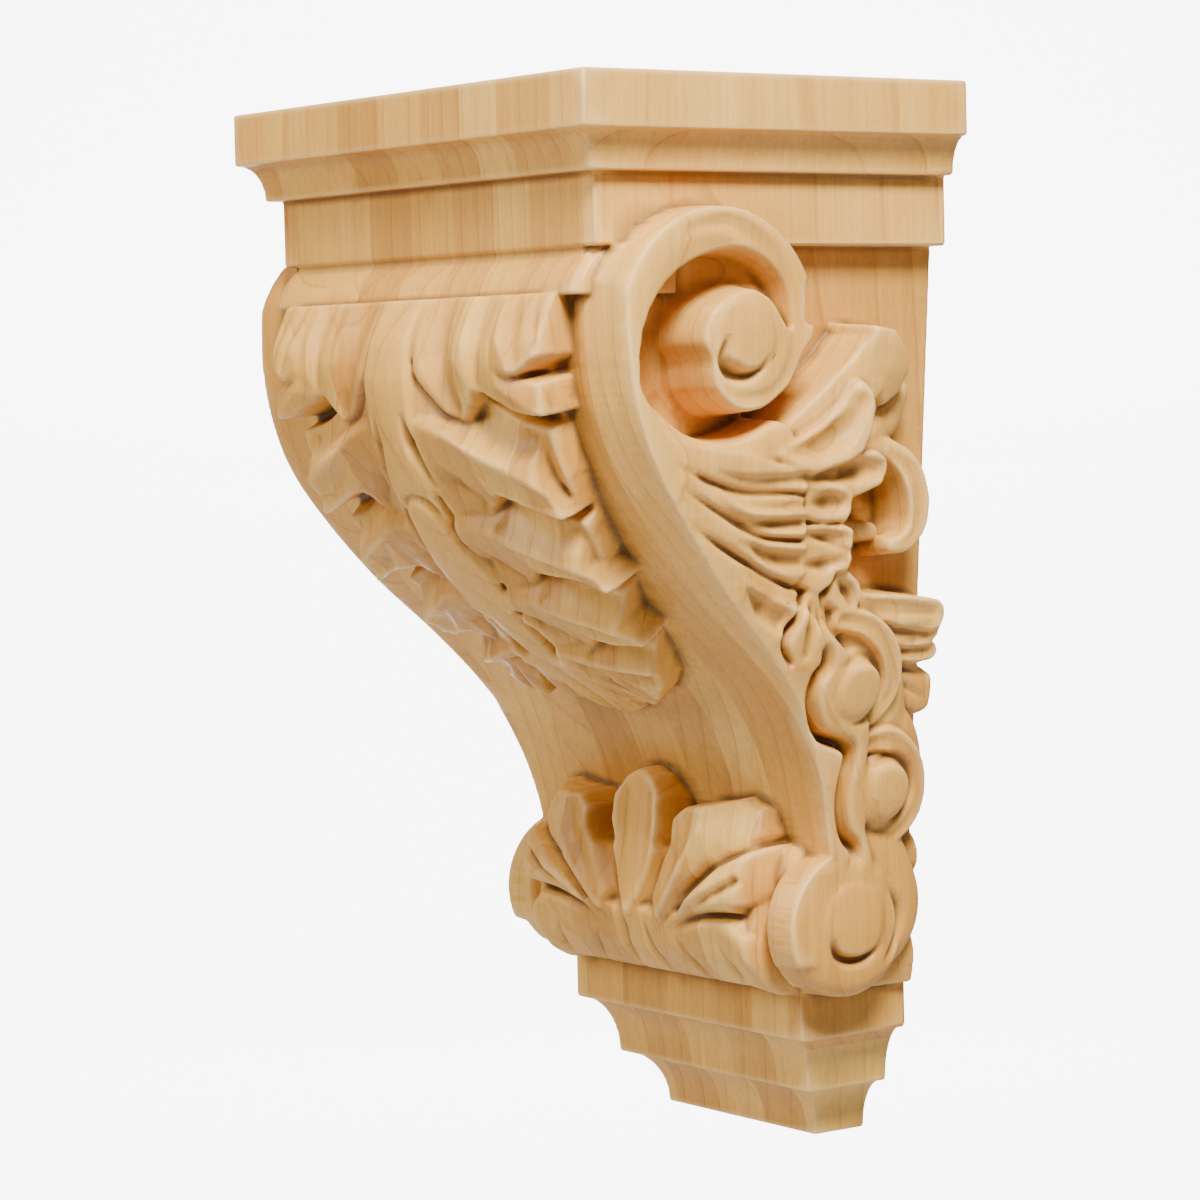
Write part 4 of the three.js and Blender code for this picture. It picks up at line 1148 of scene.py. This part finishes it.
# %% Growth rings
heart = vector_node("ADD", vector_node("MULTIPLY", shift, (0.10, 0.14, 1.7)), (0.03, 0.01, 0.0))
in_tree = vector_node("ADD", place, heart)
stretched = vector_node("MULTIPLY", in_tree, (1.0, 1.0, 0.16))
rings = node("TexWave", {"Vector": stretched, "Scale": 36.0, "Distortion": 5.0, "Detail": 2.5,
                         "Detail Scale": 0.55, "Detail Roughness": 0.45},
             wave_type="RINGS", rings_direction="Z", wave_profile="SAW").outputs["Fac"]
ring_line = ramp(rings, [(0.0, 0), (0.55, 0.08), (0.9, 0.32), (0.955, 1), (0.985, 0.6), (1.0, 0)])
faint = noise(in_tree, 22.0, 2.0)
ring_line = math_node("MULTIPLY", ring_line, math_node("MULTIPLY", faint, 1.6, clamp=True))
print("maple with rings:", len(tree.nodes), "nodes")

# %% [markdown]
# ## Fine grain
# Fine streaks run up the boards, with short dark flecks between them. Both are noise that is
# squeezed along z, so its spots become long threads.

# %% Fine grain
along_grain = vector_node("MULTIPLY", in_tree, (1.0, 1.0, 0.035))
streaks = noise(along_grain, 520.0, 4.0, Roughness=0.6)
broad = noise(along_grain, 95.0, 2.0, Roughness=0.5)
short_grain = vector_node("MULTIPLY", in_tree, (1.0, 1.0, 0.14))
fleck = ramp(noise(short_grain, 1500.0, 1.0), [(0.58, 0), (0.72, 1)])
cloud = noise(in_tree, 14.0, 2.0)
print("maple with grain:", len(tree.nodes), "nodes")

# %% [markdown]
# ## Colour of the wood
# The wood goes from a pale cream to honey in soft clouds and broad streaks. The thin lines of the
# rings, streaks and flecks are laid over it, and then each board's tone multiplies it all. The
# colours look strong as numbers, because the view transform pales bright colours.

# %% Colour of the wood
PALE = (0.93, 0.52, 0.118)
HONEY = (0.78, 0.39, 0.066)
LINE = (0.48, 0.195, 0.03)
wood_colour = mix(ramp(cloud, [(0.35, 0), (0.65, 1)]), PALE, HONEY)
wood_colour = mix(ramp(broad, [(0.3, 0), (0.7, 0.45)]), wood_colour, HONEY)
wood_colour = mix(ramp(streaks, [(0.35, 0), (0.75, 0.35)]), wood_colour, LINE)
wood_colour = mix(math_node("MULTIPLY", ring_line, 0.62, clamp=True), wood_colour, LINE)
wood_colour = mix(math_node("MULTIPLY", fleck, 0.22), wood_colour, LINE)
wood_colour = mix(1.0, wood_colour, tone, "MULTIPLY")
print("maple with colour:", len(tree.nodes), "nodes")

# %% [markdown]
# ## Stain, painted shade and painted highlight
# Now the two measures of shelter are used. The near one finds narrow grooves and sharp ridges, and
# the wide one finds deep places such as the volute's channel. What is sheltered is darkened, partly
# as the real stain that has settled in the hollows and partly as painted shade where the hollows lie
# in shadow. A pale tone paints a highlight along the ridges.

# %% Stain, painted shade and painted highlight
# Stain colour: the real stain in the hollows, plus painted shade where they lie in shadow.
STAIN_AND_SHADE, STAIN_AND_SHADE_STRENGTH = (0.12, 0.047, 0.008), 0.9
# Pale colour for a painted highlight along the ridges.
PAINTED_EDGE_HIGHLIGHT, PAINTED_EDGE_HIGHLIGHT_STRENGTH = (1.0, 0.68, 0.27), 0.6
near = node("Attribute", attribute_name="near_shelter").outputs["Fac"]
wide_ = node("Attribute", attribute_name="wide_shelter").outputs["Fac"]
# Darkening of narrow and deep hollows, partly real stain and partly painted shade.
hollow_stain_and_shade = math_node("MULTIPLY", math_node("SUBTRACT", near, 0.03), 6.5, clamp=True)
deep_stain_and_shade = math_node("MULTIPLY", math_node("SUBTRACT", wide_, 0.16), 3.2, clamp=True)
stain_and_shade = math_node("MAXIMUM", hollow_stain_and_shade, deep_stain_and_shade)
wood_colour = mix(math_node("MULTIPLY", stain_and_shade, STAIN_AND_SHADE_STRENGTH), wood_colour, STAIN_AND_SHADE)
# Painted highlight: sharp ridges are lightened as if they caught the light.
painted_edge_highlight = math_node("MULTIPLY", math_node("SUBTRACT", -0.05, near), 5.0, clamp=True)
wood_colour = mix(math_node("MULTIPLY", painted_edge_highlight, PAINTED_EDGE_HIGHLIGHT_STRENGTH), wood_colour, PAINTED_EDGE_HIGHLIGHT)
tree.links.new(wood_colour, shader.inputs["Base Color"])
# The edge strength printed here is that of the painted highlight on the ridges.
print("stain_and_shade", STAIN_AND_SHADE_STRENGTH, "strong, painted edge highlight", PAINTED_EDGE_HIGHLIGHT_STRENGTH)

# %% [markdown]
# ## Lacquer
# A thin satin lacquer leaves the grain to be felt. The roughness varies with the streaks, a weak
# clear coat gives a soft sheen, and a very small bump stands for the open grain. All shapes that can
# be seen from a step away are in the mesh, not in the bump.

# %% Lacquer
shine = math_node("ADD", 0.42, math_node("MULTIPLY", streaks, 0.16))
tree.links.new(shine, shader.inputs["Roughness"])
shader.inputs["Coat Weight"].default_value = 0.05
shader.inputs["Specular IOR Level"].default_value = 0.32
shader.inputs["Coat Roughness"].default_value = 0.22
grain_height = math_node("ADD", math_node("MULTIPLY", streaks, 0.5), math_node("MULTIPLY", fleck, -0.4))
bump = node("Bump", {"Height": grain_height, "Strength": 0.12, "Distance": 0.0006}).outputs["Normal"]
tree.links.new(bump, shader.inputs["Normal"])
carving.data.materials.clear()
carving.data.materials.append(maple)
print("maple:", len(tree.nodes), "nodes")

# %% [markdown] ## Floor and backdrop The corbel is shown hanging in a plain pale studio. One sheet
# is the floor and curves up behind, so there is no line where they meet. Only a patch of it, right
# behind the corbel, glows: it makes the background white without lighting the corbel from the side.

# %% Floor and backdrop
ACROSS = (-8.0, -1.55, 1.45, 8.0)
ROWS = [(-2.0, -1.2), (4.5, -1.2), (6.0, -1.0), (7.0, -0.3), (7.3, 0.8), (7.3, 6.0)]
GLOW = 7.0
AHEAD = Vector((-math.sin(CAMERA_YAW), math.cos(CAMERA_YAW), 0))
TO_RIGHT = Vector((math.cos(CAMERA_YAW), math.sin(CAMERA_YAW), 0))


def sweep_floor():
    """A pale floor that curves up into a backdrop."""
    line = curve(ROWS, 60)
    verts = [tuple(AHEAD * d + TO_RIGHT * s + Vector((0, 0, z))) for d, z in line for s in ACROSS]
    wide = len(ACROSS)
    faces = [(wide * i + j, wide * i + j + 1, wide * (i + 1) + j + 1, wide * (i + 1) + j)
             for i in range(len(line) - 1) for j in range(wide - 1)]
    data = bpy.data.meshes.new("floor")
    data.from_pydata(verts, [], faces)
    data.shade_smooth()
    obj = bpy.data.objects.new("floor", data)
    bpy.context.scene.collection.objects.link(obj)
    return obj


def plain_white(name, glow):
    """Matt white paper, which may glow."""
    made = bpy.data.materials.new(name)
    made.use_nodes = True
    bsdf = made.node_tree.nodes["Principled BSDF"]
    bsdf.inputs["Base Color"].default_value = (0.9, 0.9, 0.9, 1)
    bsdf.inputs["Roughness"].default_value = 0.9
    bsdf.inputs["Emission Color"].default_value = (1, 1, 1, 1)
    bsdf.inputs["Emission Strength"].default_value = glow
    return made


floor = sweep_floor()
floor.data.materials.append(plain_white("pale_floor", 0.0))
floor.data.materials.append(plain_white("pale_backdrop", GLOW))
for number, face in enumerate(floor.data.polygons):
    middle = number % (len(ACROSS) - 1) == 1
    face.material_index = int(face.center.dot(AHEAD) > 3.4 and face.center.z < 1.9 and middle)
print("floor:", len(floor.data.polygons), "faces")

# %% [markdown]
# ## Light
# A large soft box high on the right lights the carved side and throws the shadows down and to the
# left. A weaker and larger one in front opens the shadows on the leaf. It stands in front, not at
# the side, because a light at the mirror angle would put a pale glare on the lacquer.

# %% Light
def soft_box(name, at, toward, size, watts):
    """A square area light that looks at a point."""
    data = bpy.data.lights.new(name, "AREA")
    data.shape = "RECTANGLE"
    data.size, data.size_y = size
    data.energy = watts
    obj = bpy.data.objects.new(name, data)
    turned = (Vector(at) - Vector(toward)).to_track_quat("Z", "Y").to_matrix().to_4x4()
    obj.matrix_world = Matrix.Translation(at) @ turned
    bpy.context.scene.collection.objects.link(obj)
    print("soft box", name, "of", watts, "W")


LIT_AT = (0, -0.07, 0)
soft_box("right", (1.25, -0.65, 1.5), LIT_AT, (0.6, 0.6), 106)
soft_box("left", (-0.5, -1.7, 0.9), LIT_AT, (0.9, 0.9), 27)
world = bpy.data.worlds.new("studio")
bpy.context.scene.world = world
world.use_nodes = True
world.node_tree.nodes["Background"].inputs["Color"].default_value = (1, 1, 1, 1)
world.node_tree.nodes["Background"].inputs["Strength"].default_value = 0.22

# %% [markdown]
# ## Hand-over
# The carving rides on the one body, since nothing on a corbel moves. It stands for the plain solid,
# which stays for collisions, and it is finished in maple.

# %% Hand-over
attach(carving, "root")
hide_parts("corbel")
